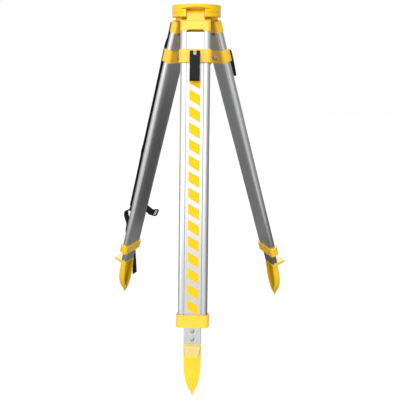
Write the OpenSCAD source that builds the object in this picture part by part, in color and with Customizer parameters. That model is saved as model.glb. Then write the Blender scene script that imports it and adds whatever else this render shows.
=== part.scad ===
// Construction tripod with a flat head and three telescoping legs.
// Millimetres, +Z up. The origin is the centre of the head's top face.
// Leg 1 points along -Y, and legs 2 and 3 follow it clockwise, seen from above.
// Each leg is drawn hanging straight down from its hinge pin, with its outer face
// towards -Y, and is then leaned outwards and turned into its place.

/* [Head] */
// Diameter of the round head
head_d = 140; // [136:1:160]
// Height of the head at its rim
head_h = 32; // [30:0.5:33]
// Thickness of the top plate
head_plate_t = 9; // [7:0.5:9.5]
// Thickness of the wall that hangs from the rim
head_wall_t = 5; // [4:0.25:5.5]
// Diameter of the hole for the centring screw
head_bore_d = 60; // [54:1:62]
// Height of the rim that is left above each leg notch
notch_top = 12.6; // [11:0.2:13]
// Depth of the line round the rim, below the top face
rim_line_z = 19.6; // [16:0.2:24]
// Height of the sloping relief above each notch
relief_h = 6; // [4:0.25:7]
// Depth of the sloping relief, inwards from the rim
relief_in = 15.6; // [10:0.2:18]

/* [Leg hinges] */
// Distance of the hinge pins from the head's axis
hinge_r = 43.3; // [42.5:0.1:44.5]
// Depth of the hinge pins below the top face
hinge_z = 25; // [24:0.1:26]
// Lean of each leg from the vertical as it stands
splay = 18; // [10:1:26]
// Width of the knuckle between its ears
knuckle_w = 49; // [44:0.5:50]
// Radius of the knuckle
knuckle_r = 10.2; // [9:0.1:10.6]
// Diameter of the hinge bolts
hinge_bolt_d = 8; // [6:0.5:8]
// Thickness of the friction washers
friction_washer_t = 1.3; // [1:0.1:2]
// Thickness of each ear
ear_t = 6; // [4.5:0.25:6.5]
// Radius of an ear round its bolt
ear_r = 8.5; // [7:0.25:9]

/* [Upper legs] */
// Width over the two side rails
leg_w = 84.5; // [80:0.5:88]
// Depth of the side rails
leg_t = 23; // [21:0.5:25]
// Width of the channel between the side rails
channel_w = 50.4; // [46:0.2:52]
// Wall of the side rails
rail_wall = 1.8; // [1.4:0.1:2.4]
// Distance from hinge pin to the shoulders of the leg cap
cap_top = 16.4; // [15.6:0.1:18]
// Distance from hinge pin to the lower end of the leg cap
cap_bottom = 49.2; // [44:0.2:51]
// How far the leg cap stands proud of the rails in front and behind
cap_proud = 1; // [0.5:0.1:1.4]
// Length of the spigots that the rails are pushed onto
spigot_len = 36; // [30:1:42]
// Height of the lower guide
guide_h = 36; // [30:1:38]
// Thickness of the guide's lip under the rails
guide_lip = 4; // [3:0.5:6]
// Wall of the lower guide
guide_wall = 5; // [4:0.25:6]

/* [Lower legs] */
// Distance from hinge pin to the top end of the inner leg
inner_top = 52.7; // [51.5:0.1:56]
// Length of the inner leg's tube
inner_len = 880; // [865:1:900]
// Wall of the inner leg's tube
inner_wall = 1.8; // [1.4:0.1:2.2]
// Distance between the lower guide and the foot
foot_gap = 50.1; // [30:1:60]
// Length of the foot below the inner leg
foot_len = 165.7; // [150:1:180]
// Length of the foot's tapering blade
blade_len = 97.4; // [80:1:104]
// How far the foot's tip bends inwards
foot_bend = 21.6; // [15:0.2:24]
// Wall of the foot
foot_wall = 4; // [3:0.25:5]
// How far the foot pedal reaches out from the leg's middle
pedal_reach = 50; // [40:1:55]
// Width of the pedal at its outer edge
pedal_w = 38; // [30:1:44]

/* [Clamps] */
// Distance from hinge pin to the top of the clamp collar
collar_top = 99.1; // [96:0.5:110]
// Height of the clamp collar
collar_h = 36.8; // [34:0.2:42]
// Wall of the clamp collar beside the rails
collar_wall = 3.4; // [3:0.1:4.5]
// Wall of the clamp collar before and behind the rails
collar_face = 4.35; // [3.8:0.05:5]
// Diameter of the clamp bolt
clamp_bolt_d = 8; // [6:0.5:8]
// Distance of the lever's pin from the clamp plate's face
lever_stand = 10.8; // [10:0.1:12]
// Diameter of the lever's pin
lever_pin_d = 6; // [4:0.5:7]
// Width of the lever
lever_w = 27.7; // [24:0.1:30]
// Length of the lever below its pin
lever_len = 73.5; // [60:0.5:80]

/* [Centring screw] */
// Distance of the arm's pivot from the head's axis
arm_pivot_r = 46; // [45:0.25:47]
// Thickness of the arm
arm_t = 5; // [4:0.25:5.5]
// Diameter of the screw's thread
screw_d = 15.88; // [14:0.01:16]
// Depth of the screw's end below the top face
screw_drop = 1; // [0.5:0.25:2]
// Diameter of the knob
knob_d = 36; // [30:1:36]
// Height of the knob
knob_h = 20; // [16:1:24]

/* [Straps] */
// Width of the webbing
strap_w = 25; // [20:1:25]
// Thickness of the webbing
strap_t = 1.6; // [1.2:0.1:2]

/* [Hidden] */
$fn = 64;
YELLOW = [1.0, 0.80, 0.09];
METAL = [0.80, 0.81, 0.83];
STEEL = [0.66, 0.67, 0.69];
BLACK = [0.09, 0.09, 0.10];
NYLON = [0.86, 0.86, 0.83];
LEGS = [1, 2, 3];
SIDES = [-1, 1];
eps = 1;               // overshoot of a cutting tool past the face that it cuts
running = 0.05;        // radial clearance of a pin that turns
sliding = 0.5;         // clearance beside the inner leg
collar_gap = 0.35;     // clearance of the collar round the rails
seat_gap = 0.15;       // clearance of pieces that are pushed or riveted together
hole_gap = 0.02;       // radial clearance of a rivet or bolt in its hole

head_r = head_d / 2;
bore_r = head_bore_d / 2;
edge_break = 1.4;
line_deep = 1;
ear_in = 2.5;
ear_step = 0.5;
line_w = 1.6;
notch_half = knuckle_w / 2 + friction_washer_t + 0.2;
ear_out = notch_half + ear_t;
bolt_head_h = 5.3;
nut_h = 6.5;
bolt_end = 1.5;
hex_ratio = 0.94;      // a hexagon's corner radius against its bolt's diameter

rail_r = leg_t / 2;
rail_mid = leg_w / 2 - rail_r;
rib_out = 2.5;
rib_w = 5.4;
back_line_w = 0.9;
back_line_deep = 0.6;
cap_w = leg_w + 0.8;
cap_t = leg_t + 2 * cap_proud;
cap_core_top = cap_top + 6;
cap_notch_h = 3.4;
rivet_out = 31;
cap_rivets_at = [cap_bottom + 6, cap_bottom + 23];
guide_t = leg_t + 2 * guide_wall;
guide_w = leg_w + 2 * guide_wall;
cap_rivet_r = 1.6;
rivet_head_r = 3.4;
rivet_head_h = 1.6;

inner_w = channel_w - 2 * sliding;
inner_t = leg_t - 0.6;
inner_bottom = inner_top + inner_len;
guide_top = inner_bottom - foot_gap - guide_h;
guide_rivet_at = guide_top + guide_h / 2;
rail_bottom = guide_top + guide_h - guide_lip;
mark_w = 43;           // shallow mark in the front of the lower guide
mark_drop = 14.5;
mark_r = 60;
mark_deep = 0.8;
groove_in = channel_w / 2 - rib_out - 0.4;
groove_half = rib_w / 2 + sliding;

foot_tip = inner_bottom + foot_len;
foot_end = foot_tip - 12.4;    // lower end of the foot's body, above its nib
foot_lip = 0.6;
foot_lip_h = 2.4;
foot_heel = 13;        // how much earlier the foot's channel ends than its body
foot_lean = 0.104;     // how fast the foot's inner edges lean inwards
foot_taper = 0.07;     // the same for its outer face
nib_slope = 0.28;
nib_tip = 0.9;
foot_hole_at = 40.5;
foot_hole_r = 1.8;
foot_rivets_at = [inner_bottom - 38.4, inner_bottom - 15.1];
foot_rivet_r = 2.5;
plug_len = 52;
rivet_dome_r = 5.8;
rivet_dome_h = 2.8;

collar_w = leg_w + 2 * (collar_gap + collar_wall);
collar_t = leg_t + 2 * (collar_gap + collar_face);
collar_mid = collar_top + collar_h / 2;
plate_face = collar_t / 2;
split = 9;             // where the collar's halves part, from the leg's middle
split_w = 0.5;
pin_out = plate_face + lever_stand;
cam_shift = 0.9;       // how far the cam's centre lies from its pin
cam_r = lever_stand - cam_shift - 0.1;
eye_r = lever_pin_d / 2 + 3.5;
eye_half = 4.2;
fork_half = eye_half + 0.5;
lever_wall = 3;
lever_tip_r = 4;
pocket_top = 18;
pocket_h = (lever_len - pocket_top - 16.5) / 3;
nut_sink = 1.5;
nut_face = plate_face - nut_sink;
nut_washer_t = 1.6;
nut_recess_r = clamp_bolt_d + 2;

rib_len = 10;          // ribs inside the rim
rib_t = 4;
rib_low = 8;
arm_seat_h = 0.5;
arm_screw_deep = 3;
arm_screw_head_h = 4;
arm_screw_socket = 2;
arm_top = head_plate_t + 0.3;
arm_half = 17;
arm_shift = 9;
slot_half = 12;
slot_shift = 7;
arm_pivot_d = 6;
arm_eye_r = 8;
bush_r = slot_half - sliding;
bush_flange_r = 14.5;
bush_flange_t = 1;
bush_bottom = arm_top + arm_t + 5.2;
sleeve_r = bush_r - 1.8;
sleeve_flange_r = 12.5;
sleeve_top = 15.2;
screw_lift = 14;
sleeve_bottom = bush_bottom + screw_lift + 2.3;
screw_core_r = screw_d / 2 - 1.3;
thread_len = arm_top - bush_flange_t - running - screw_drop;
screw_chamfer = 1;
knob_top = sleeve_bottom;

strap_rivet_r = 2;
strap_mid = channel_w / 2 + strap_rivet_r + 0.3; // middle of the webbing, from the leg's middle
strap_up = 162.6;      // how far above the lower guide the straps are riveted to the rail
strap_low = guide_top - strap_up;
strap_high = cap_top + 17.6;   // where the carry strap is riveted to the leg cap
buckle_rivet = channel_w / 2 + 4.8;
buckle_lower = 15;     // how far the buckle strap's rivet is below the others
strap_clear = 0.3;
strap_rivet_deep = 4;
strap_lap = strap_t + 0.4;     // step from one strap up to the one riveted on it
strap_rivets_at = [
    [strap_mid, strap_high], [strap_mid, strap_low], [-buckle_rivet, strap_low + buckle_lower]];
strap_rivet_head_r = 5;
strap_rivet_head_h = 2;
buckle_w = strap_w + 6;
buckle_h = 28;
buckle_t = 6;
buckle_bar = 3.6;      // width of the buckle's slots

// Turns what is drawn for leg 1 to leg k.
module turned(k) {
    rotate([0, 0, -120 * (k - 1)]) children();
}

// Places a leg, drawn under its hinge pin, at its hinge on the head.
module at_leg(k) {
    turned(k) translate([0, -hinge_r, -hinge_z]) rotate([-splay, 0, 0]) children();
}

// Rounded rectangle in the plane, centred.
module round_rect(w, t, r) {
    square([w - 2 * r, t], center = true);
    square([w, t - 2 * r], center = true);
    for (x = SIDES, y = SIDES) translate([x * (w / 2 - r), y * (t / 2 - r)]) circle(r);
}

// What is drawn on the leg's right side, and its mirror image on the left.
module both_sides() {
    children();
    mirror([1, 0]) children();
}

// A bar of the given cross-section between two distances down the leg.
module along_leg(from, to) {
    translate([0, 0, -to]) linear_extrude(to - from) children();
}

// A plate whose outline is drawn in the leg's front view, between two depths.
module front_cut(y1, y2) {
    translate([0, y2, 0]) rotate([90, 0, 0]) linear_extrude(y2 - y1) children();
}

// A plate whose outline is drawn in the leg's side view, as (y, z) points.
module side_cut(x1, x2) {
    translate([x1, 0, 0]) rotate([90, 0, 90]) linear_extrude(x2 - x1) children();
}

// A pin across the leg, in the direction of its hinge.
module cross_pin(r, x1, x2, y = 0, z = 0) {
    translate([x1, y, z]) rotate([0, 90, 0]) cylinder(h = x2 - x1, r = r);
}

// A pin through the leg, from one depth to another.
module through_pin(r, y1, y2, x = 0, z = 0) {
    translate([x, y1, z]) rotate([-90, 0, 0]) cylinder(h = y2 - y1, r = r);
}

// A low round head of radius r and height h that stands on z = 0.
module dome(r, h) {
    ball = (r * r + h * h) / (2 * h);
    intersection() {
        translate([0, 0, h - ball]) sphere(ball);
        cylinder(h = h, r = r);
    }
}

// A rivet whose head lies on the outer (side -1) or inner (side 1) face.
module rivet(x, z, side, face, tail, r, h, shank_r) {
    translate([x, side * face, z]) rotate([-side * 90, 0, 0]) dome(r, h);
    through_pin(shank_r, side > 0 ? tail : -face, side > 0 ? face : -tail, x, z);
}

// Head

module rim() {
    rotate_extrude($fn = 128) polygon([
        [bore_r, -head_plate_t], [bore_r, -edge_break], [bore_r + edge_break, 0],
        [head_r - edge_break, 0], [head_r, -edge_break], [head_r, -rim_line_z],
        [head_r - line_deep, -rim_line_z - line_w / 3],
        [head_r - line_deep, -rim_line_z - 2 * line_w / 3],
        [head_r, -rim_line_z - line_w], [head_r, -head_h + edge_break],
        [head_r - edge_break, -head_h], [head_r - head_wall_t, -head_h],
        [head_r - head_wall_t, -head_plate_t - 2], [head_r - head_wall_t - 2, -head_plate_t]]);
}

// One ear, which hangs from the plate beside the knuckle and runs out to the rim.
module ear(side) {
    side_cut(side > 0 ? notch_half : -ear_out, side > 0 ? ear_out : -notch_half) {
        translate([-hinge_r, -hinge_z]) circle(ear_r);
        translate([-hinge_r - ear_r, -hinge_z]) square([2 * ear_r, hinge_z - head_plate_t + 0.5]);
        translate([-head_r, -head_h + ear_step])
            square([head_r - hinge_r, head_h - ear_step - head_plate_t + 0.5]);
    }
}

module head_casting() {
    color(YELLOW) difference() {
        union() {
            rim();
            intersection() {
                union() for (k = LEGS, side = SIDES) turned(k) ear(side);
                translate([0, 0, -2 * head_h]) cylinder(h = 2 * head_h, r = head_r - ear_in, $fn = 128);
            }
            translate([0, arm_pivot_r, -arm_top + running])
                cylinder(h = arm_seat_h, r = arm_pivot_d + 1);
            for (k = [2, 3]) turned(k)
                translate([-rib_t / 2, head_r - head_wall_t - rib_len + 1, -head_h + rib_low])
                    cube([rib_t, rib_len, head_h - rib_low - head_plate_t + 0.5]);
        }
        for (k = LEGS) turned(k) {
            translate([-notch_half, -head_r - eps, -2 * head_h])
                cube([2 * notch_half, head_r - hinge_r + eps, 2 * head_h - notch_top]);
            cross_pin(hinge_bolt_d / 2 + hole_gap, -ear_out - eps, ear_out + eps, -hinge_r, -hinge_z);
            side_cut(-head_r, head_r) polygon([
                [-head_r - eps, -notch_top + relief_h * (1 + eps / relief_in)],
                [-head_r + relief_in, -notch_top], [-head_r - eps, -notch_top]]);
        }
        translate([0, arm_pivot_r, -arm_top - eps])
            cylinder(h = arm_top + eps - arm_screw_deep, r = arm_pivot_d / 2 + hole_gap);
    }
}

module hinge_bolts() {
    color(STEEL) for (k = LEGS) turned(k) translate([0, -hinge_r, -hinge_z]) {
        translate([-ear_out - bolt_head_h, 0, 0]) rotate([0, 90, 0])
            cylinder(h = bolt_head_h, r = hex_ratio * hinge_bolt_d, $fn = 6);
        cross_pin(hinge_bolt_d / 2, -ear_out - eps, ear_out + nut_h + bolt_end);
    }
}

module hinge_nuts() {
    color(STEEL) for (k = LEGS) turned(k) translate([0, -hinge_r, -hinge_z]) difference() {
        translate([ear_out, 0, 0]) rotate([0, 90, 0])
            cylinder(h = nut_h, r = hex_ratio * hinge_bolt_d, $fn = 6);
        cross_pin(hinge_bolt_d / 2 + hole_gap, ear_out - eps, ear_out + nut_h + eps);
    }
}

module friction_washers() {
    color(NYLON) for (k = LEGS, side = SIDES) turned(k) translate([0, -hinge_r, -hinge_z])
        difference() {
            cross_pin(ear_r, side > 0 ? notch_half - 0.1 - friction_washer_t : 0.1 - notch_half,
                side > 0 ? notch_half - 0.1 : 0.1 - notch_half + friction_washer_t);
            cross_pin(hinge_bolt_d / 2 + hole_gap, -ear_out, ear_out);
        }
}

module arm_screw() {
    color(STEEL) translate([0, arm_pivot_r, 0]) difference() {
        union() {
            translate([0, 0, -arm_top - arm_t - arm_screw_head_h])
                cylinder(h = arm_screw_head_h - running, r = arm_pivot_d - 0.5);
            translate([0, 0, -arm_top - arm_t - eps])
                cylinder(h = arm_top + arm_t + eps - arm_screw_deep - 0.5, d = arm_pivot_d);
        }
        translate([0, 0, -arm_top - arm_t - arm_screw_head_h - eps])
            cylinder(h = arm_screw_socket + eps, r = arm_screw_socket, $fn = 6);
    }
}

module centring_arm() {
    color(STEEL) translate([0, 0, -arm_top - arm_t]) difference() {
        union() {
            for (y = [-arm_shift, arm_shift]) translate([0, y, 0]) cylinder(h = arm_t, r = arm_half);
            translate([-arm_half, -arm_shift, 0]) cube([2 * arm_half, 2 * arm_shift, arm_t]);
            translate([0, arm_pivot_r, 0]) cylinder(h = arm_t, r = arm_eye_r);
            linear_extrude(arm_t) polygon([
                [-arm_half + eps, 0], [-arm_eye_r + eps / 2, arm_pivot_r + 2],
                [arm_eye_r - eps / 2, arm_pivot_r + 2], [arm_half - eps, 0]]);
        }
        translate([0, 0, -eps]) linear_extrude(arm_t + 2 * eps) {
            for (y = [-slot_shift, slot_shift]) translate([0, y]) circle(slot_half);
            square([2 * slot_half, 2 * slot_shift], center = true);
        }
        translate([0, arm_pivot_r, -eps]) cylinder(h = arm_t + 2 * eps, r = arm_pivot_d / 2 + running);
    }
}

module slot_bush() {
    color(STEEL) difference() {
        union() {
            translate([0, 0, -arm_top + running]) cylinder(h = bush_flange_t, r = bush_flange_r);
            translate([0, 0, -bush_bottom]) cylinder(h = bush_bottom - arm_top + eps, r = bush_r);
        }
        translate([0, 0, -bush_bottom - eps]) cylinder(h = bush_bottom, r = sleeve_r + running);
    }
}

module screw_sleeve() {
    color(NYLON) difference() {
        union() {
            translate([0, 0, -sleeve_bottom]) cylinder(h = sleeve_bottom - sleeve_top, r = sleeve_r);
            translate([0, 0, -sleeve_bottom]) cylinder(h = 2, r = sleeve_flange_r);
        }
        translate([0, 0, -sleeve_bottom - eps]) cylinder(h = sleeve_bottom, r = screw_core_r + running);
    }
}

module centring_screw() {
    hook_r = 5;
    color(STEEL) {
        rotate_extrude() polygon([
            [0, -screw_drop], [screw_d / 2 - screw_chamfer, -screw_drop],
            [screw_d / 2, -screw_drop - screw_chamfer],
            [screw_d / 2, -screw_drop - thread_len], [screw_core_r, -screw_drop - thread_len - 1],
            [screw_core_r, -knob_top - knob_h], [0, -knob_top - knob_h]]);
        translate([0, 0, -knob_top - knob_h - hook_r + 0.6]) rotate([90, 0, 0])
            rotate_extrude($fn = 32) translate([hook_r - 1, 0]) circle(1, $fn = 16);
    }
}

module screw_knob() {
    flutes = 8;
    color(BLACK) difference() {
        rotate_extrude() polygon([
            [screw_core_r, -knob_top - running], [knob_d / 2 - 4, -knob_top - running],
            [knob_d / 2, -knob_top - 4], [knob_d / 2, -knob_top - knob_h + 2],
            [knob_d / 2 - 2, -knob_top - knob_h], [screw_core_r, -knob_top - knob_h]]);
        for (i = [0 : flutes - 1]) rotate([0, 0, i * 360 / flutes])
            translate([knob_d / 2 + 2.5, 0, -knob_top - knob_h - eps]) cylinder(h = knob_h + 2 * eps, r = 5);
    }
}

// Upper legs

// Cross-section of one hollow side rail, flat towards the channel and round outside.
module rail_outline() {
    half_round(rail_r, channel_w / 2);
    translate([channel_w / 2 - rib_out, -rib_w / 2]) square([rib_out + eps, rib_w]);
}

// The hollow of a side rail, made smaller by the given gap.
module rail_hollow(gap = 0) {
    half_round(rail_r - rail_wall - gap, channel_w / 2 + rail_wall + gap);
}

// A shape that is flat at x = flat and has a round outer side about the rail's middle.
module half_round(r, flat) {
    intersection() {
        translate([rail_mid, 0]) circle(r);
        translate([flat, -r - eps]) square([leg_w, 2 * r + 2 * eps]);
    }
    translate([flat, -r]) square([rail_mid - flat, 2 * r]);
}

// Outline round both rails, made larger by the given gap.
module leg_outline(gap = 0) {
    for (side = SIDES) translate([side * rail_mid, 0]) circle(rail_r + gap);
    square([2 * rail_mid, leg_t + 2 * gap], center = true);
}

// Holes for the strap rivets, in leg 2 alone.
module strap_holes(k) {
    if (k == 2) for (p = strap_rivets_at)
        through_pin(strap_rivet_r + hole_gap, -cap_t, -rail_r + strap_rivet_deep, p[0], -p[1]);
}

module leg_cap(k) {
    block_h = cap_bottom - cap_top;
    at_leg(k) color(YELLOW) difference() {
        union() {
            intersection() {
                along_leg(cap_top, cap_bottom) round_rect(cap_w, cap_t, rail_r - 2);
                front_cut(-cap_t, cap_t) translate([0, -cap_top - block_h])
                    round_rect(cap_w, 2 * block_h, 4);
                side_cut(-cap_w, cap_w) polygon([
                    [-cap_t / 2, -cap_bottom - eps], [-cap_t / 2, -cap_top - 6],
                    [-cap_t / 2 + 6, -cap_top], [cap_t / 2 - 3, -cap_top],
                    [cap_t / 2, -cap_top - 3], [cap_t / 2, -cap_bottom - eps]]);
            }
            cross_pin(knuckle_r, -knuckle_w / 2, knuckle_w / 2);
            translate([-knuckle_w / 2, -knuckle_r, -cap_core_top])
                cube([knuckle_w, 2 * knuckle_r, cap_core_top]);
            along_leg(cap_bottom - eps, cap_bottom + spigot_len) both_sides() rail_hollow(seat_gap);
        }
        cross_pin(hinge_bolt_d / 2 + running, -knuckle_w, knuckle_w);
        front_cut(-cap_t, cap_t) polygon([
            [-channel_w / 2, -cap_bottom - eps], [-channel_w / 2, -cap_bottom],
            [-channel_w / 2 + 6, -cap_bottom + cap_notch_h],
            [channel_w / 2 - 6, -cap_bottom + cap_notch_h],
            [channel_w / 2, -cap_bottom], [channel_w / 2, -cap_bottom - eps]]);
        along_leg(cap_core_top, cap_bottom) round_rect(channel_w - 12, cap_t - 8, 3);
        for (side = SIDES, s = cap_rivets_at)
            through_pin(cap_rivet_r + hole_gap, 0, cap_t, side * rivet_out, -s);
        strap_holes(k);
    }
}

module side_rails(k) {
    at_leg(k) color(METAL) difference() {
        along_leg(cap_bottom, rail_bottom) both_sides() difference() {
            rail_outline();
            rail_hollow();
            translate([rail_mid - back_line_w, rail_r - back_line_deep]) square([back_line_w, eps]);
        }
        for (side = SIDES, s = concat(cap_rivets_at, [guide_rivet_at]))
            through_pin(cap_rivet_r + hole_gap, rail_r - rail_wall - eps, leg_t, side * rivet_out, -s);
        strap_holes(k);
    }
}

module cap_rivets(k) {
    at_leg(k) color(STEEL) for (side = SIDES, s = cap_rivets_at)
        rivet(side * rivet_out, -s, 1, rail_r, 2, rivet_head_r, rivet_head_h, cap_rivet_r);
}

module lower_guide(k) {
    at_leg(k) color(YELLOW) difference() {
        intersection() {
            along_leg(guide_top, guide_top + guide_h) round_rect(guide_w, guide_t, rail_r + 1);
            front_cut(-guide_t, guide_t) translate([0, -guide_top - guide_h / 2])
                round_rect(guide_w, guide_h, 4);
        }
        along_leg(guide_top - eps, rail_bottom) leg_outline(seat_gap);
        along_leg(guide_top, guide_top + guide_h + eps)
            square([inner_w + 2 * sliding, inner_t + 2 * sliding], center = true);
        front_cut(-guide_t, -guide_t / 2 + mark_deep) intersection() {
            translate([0, -guide_top - mark_drop + mark_r]) circle(mark_r, $fn = 180);
            translate([-mark_w / 2, -guide_top - guide_h]) square([mark_w, guide_h + eps]);
        }
        for (side = SIDES)
            through_pin(cap_rivet_r + hole_gap, 0, guide_t, side * rivet_out, -guide_rivet_at);
    }
}

module guide_rivets(k) {
    at_leg(k) color(STEEL) for (side = SIDES)
        rivet(side * rivet_out, -guide_rivet_at, 1, guide_t / 2, rail_r - rail_wall - 0.6,
            rivet_head_r, rivet_head_h, cap_rivet_r);
}

// Lower legs

module inner_leg(k) {
    lobe_w = inner_w / 2 - inner_wall;
    lobe_from = groove_half + inner_wall;
    lobe_to = inner_t / 2 - inner_wall;
    at_leg(k) color(METAL) difference() {
        along_leg(inner_top, inner_bottom) difference() {
            round_rect(inner_w, inner_t, 1.6);
            for (side = SIDES) translate([side * (groove_in + inner_w / 2), 0])
                square([inner_w, 2 * groove_half], center = true);
            square([2 * (groove_in - inner_wall), 2 * lobe_to], center = true);
            for (side = SIDES) translate([-lobe_w, side > 0 ? lobe_from : -lobe_to])
                square([2 * lobe_w, lobe_to - lobe_from]);
        }
        through_pin(clamp_bolt_d / 2 + hole_gap, -leg_t, leg_t, 0, -collar_mid);
        for (s = foot_rivets_at) through_pin(foot_rivet_r + hole_gap, -leg_t, leg_t, 0, -s);
    }
}

// The clamp's band round both rails; front is the clamp plate, the rest the collar.
module clamp_band(front) {
    difference() {
        intersection() {
            along_leg(collar_top, collar_top + collar_h) difference() {
                union() {
                    difference() {
                        round_rect(collar_w, collar_t, rail_r + 1);
                        leg_outline(collar_gap);
                    }
                    for (side = SIDES)
                        translate([-channel_w / 2 + 5, side > 0 ? inner_t / 2 + hole_gap : -rail_r - eps])
                            square([channel_w - 10, rail_r + eps - inner_t / 2 - hole_gap]);
                }
                translate([-collar_w, front ? -split - split_w / 2 : -collar_t - split + split_w / 2])
                    square([2 * collar_w, front ? 2 * collar_t : collar_t]);
            }
            front_cut(-collar_t, collar_t) translate([0, -collar_mid]) round_rect(collar_w, collar_h, 3.5);
        }
        through_pin(clamp_bolt_d / 2 + hole_gap, -collar_t, collar_t, 0, -collar_mid);
    }
}

module clamp_collar(k) {
    at_leg(k) color(YELLOW) difference() {
        clamp_band(false);
        through_pin(nut_recess_r, plate_face - nut_sink, collar_t, 0, -collar_mid);
    }
}

module clamp_plate(k) {
    at_leg(k) color(YELLOW) clamp_band(true);
}

module clamp_bolt(k) {
    at_leg(k) color(STEEL) difference() {
        union() {
            cross_pin(eye_r, -eye_half, eye_half, -pin_out, -collar_mid);
            through_pin(clamp_bolt_d / 2, -pin_out + eye_r - 2, nut_face + nut_washer_t + nut_h + bolt_end,
                0, -collar_mid);
        }
        cross_pin(lever_pin_d / 2 + hole_gap, -lever_w, lever_w, -pin_out, -collar_mid);
    }
}

module clamp_nut(k) {
    at_leg(k) color(STEEL) difference() {
        union() {
            through_pin(nut_recess_r - nut_washer_t, nut_face, nut_face + nut_washer_t, 0, -collar_mid);
            translate([0, nut_face + nut_washer_t, -collar_mid]) rotate([-90, 0, 0])
                cylinder(h = nut_h, r = hex_ratio * clamp_bolt_d, $fn = 6);
        }
        through_pin(clamp_bolt_d / 2 + hole_gap, 0, 2 * collar_t, 0, -collar_mid);
    }
}

module lever_pin(k) {
    half = lever_w / 2 - 0.3;
    at_leg(k) color(STEEL) cross_pin(lever_pin_d / 2, -half, half, -pin_out, -collar_mid);
}

// The lever's handle in side view, measured from its pin: out from the leg, then down.
function handle_outline() =
    let (out = cam_r - cam_shift, under = -3.6, tip = lever_tip_r)
    concat([[out, 0], [out, -lever_len * 0.35], [out - 1.2, -lever_len * 0.65]],
        [for (a = [10 : -20 : -150])
            [out - 1.6 * tip + tip * cos(a), -lever_len + tip + tip * sin(a)]],
        [[under, -lever_len + 4 * tip], [under, 1 - pocket_top], [under - 3, -pocket_top / 2],
         [0, -5]]);

module clamp_lever(k) {
    at_leg(k) translate([0, -pin_out, -collar_mid]) color(BLACK) difference() {
        union() {
            cross_pin(cam_r, -lever_w / 2, lever_w / 2, cam_shift);
            side_cut(-lever_w / 2, lever_w / 2) polygon([for (p = handle_outline()) [-p[0], p[1]]]);
        }
        translate([-fork_half, -2 * cam_r, -eye_r - 1.6])
            cube([2 * fork_half, 4 * cam_r, 4 * cam_r]);
        cross_pin(lever_pin_d / 2 + running, -lever_w, lever_w);
        for (i = [0 : 2])
            translate([-lever_w / 2 + lever_wall, -2.5, -pocket_top - i * (pocket_h + 2) - pocket_h])
                cube([lever_w - 2 * lever_wall, 10, pocket_h]);
    }
}

// How far a round end has closed, from 0 where it starts to 1 at its end.
function closing(s, from, to) =
    let (x = min(1, max(0, (s - from) / (to - from)))) 1 - sqrt(1 - x * x);

// Half width of the foot's body at a distance down the leg.
function blade_half(s) =
    let (from = foot_end - blade_len + 6, u = min(1, max(0, (s - from) / blade_len)))
    inner_w / 2 * (1 - pow(u, 2.2));

// Outer and inner faces of the foot in side view, which meet in a round end.
function foot_front(s) =
    let (line = -inner_t / 2 + foot_taper * (s - inner_bottom))
    line + (foot_bend - foot_taper * (foot_end - inner_bottom) + inner_t / 2)
        * closing(s, foot_end - 0.49 * foot_len, foot_end);
function foot_back(s) =
    let (edge = inner_t / 2 + foot_lean * (s - inner_bottom),
         last = inner_t / 2 + foot_lean * (foot_end - inner_bottom))
    edge - (last - foot_bend - 1.6) * closing(s, foot_end - 0.15 * foot_len, foot_end);

// Distances down the foot's body, closer together towards its round end.
FOOT_STEPS = 16;
function foot_steps(from, to) =
    [for (i = [0 : FOOT_STEPS]) from + (to - from) * sin(90 * i / FOOT_STEPS)];

// The foot's body, or the channel in its back when the wall is above zero.
module blade(wall, shift) {
    steps = foot_steps(inner_bottom + wall, foot_end - shift);
    wide = [for (s = steps) if (blade_half(s + shift) > wall) s];
    intersection() {
        side_cut(-inner_w / 2, inner_w / 2) polygon(concat(
            [for (s = steps) [foot_front(s + shift / 2) + wall, -s]],
            [for (i = [FOOT_STEPS : -1 : 0]) [foot_back(steps[i]) + 10 * wall, -steps[i]]]));
        front_cut(-leg_w, leg_w) polygon(concat(
            [for (s = wide) [blade_half(s + shift) - wall, -s]],
            [for (i = [len(wide) - 1 : -1 : 0]) [wall - blade_half(wide[i] + shift), -wide[i]]]));
    }
}

// The pointed nib under the foot's body.
module nib() {
    from = foot_end - 12;
    half = nib_tip + nib_slope * (foot_tip - from);
    intersection() {
        side_cut(-half, half) polygon([
            [foot_bend - half + 1, -from], [foot_bend - nib_tip, -foot_tip],
            [foot_bend + nib_tip, -foot_tip], [foot_bend + 1.2, -foot_end], [foot_bend, -from]]);
        front_cut(-leg_w, leg_w) polygon([
            [-half, -from], [-nib_tip, -foot_tip], [nib_tip, -foot_tip], [half, -from]]);
    }
}

// The pedal, a plate that slopes down and outwards from the top of the foot.
module pedal() {
    corner = 5;
    top = inner_bottom + 4;
    intersection() {
        side_cut(-inner_w / 2, inner_w / 2) polygon([
            [-inner_t / 2 + 2, -top + 1], [-pedal_reach, -top - 13],
            [-pedal_reach, -top - 20], [-inner_t / 2 + 2, -top - 11]]);
        along_leg(top - 10, top + 40) {
            polygon([[-inner_w / 2, 0], [-inner_w / 2, -inner_t / 2], [-pedal_w / 2, -pedal_reach + corner],
                [pedal_w / 2, -pedal_reach + corner], [inner_w / 2, -inner_t / 2],
                [inner_w / 2, 0]]);
            translate([0, -pedal_reach + corner]) round_rect(pedal_w, 2 * corner, corner - 0.1);
        }
    }
}

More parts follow.
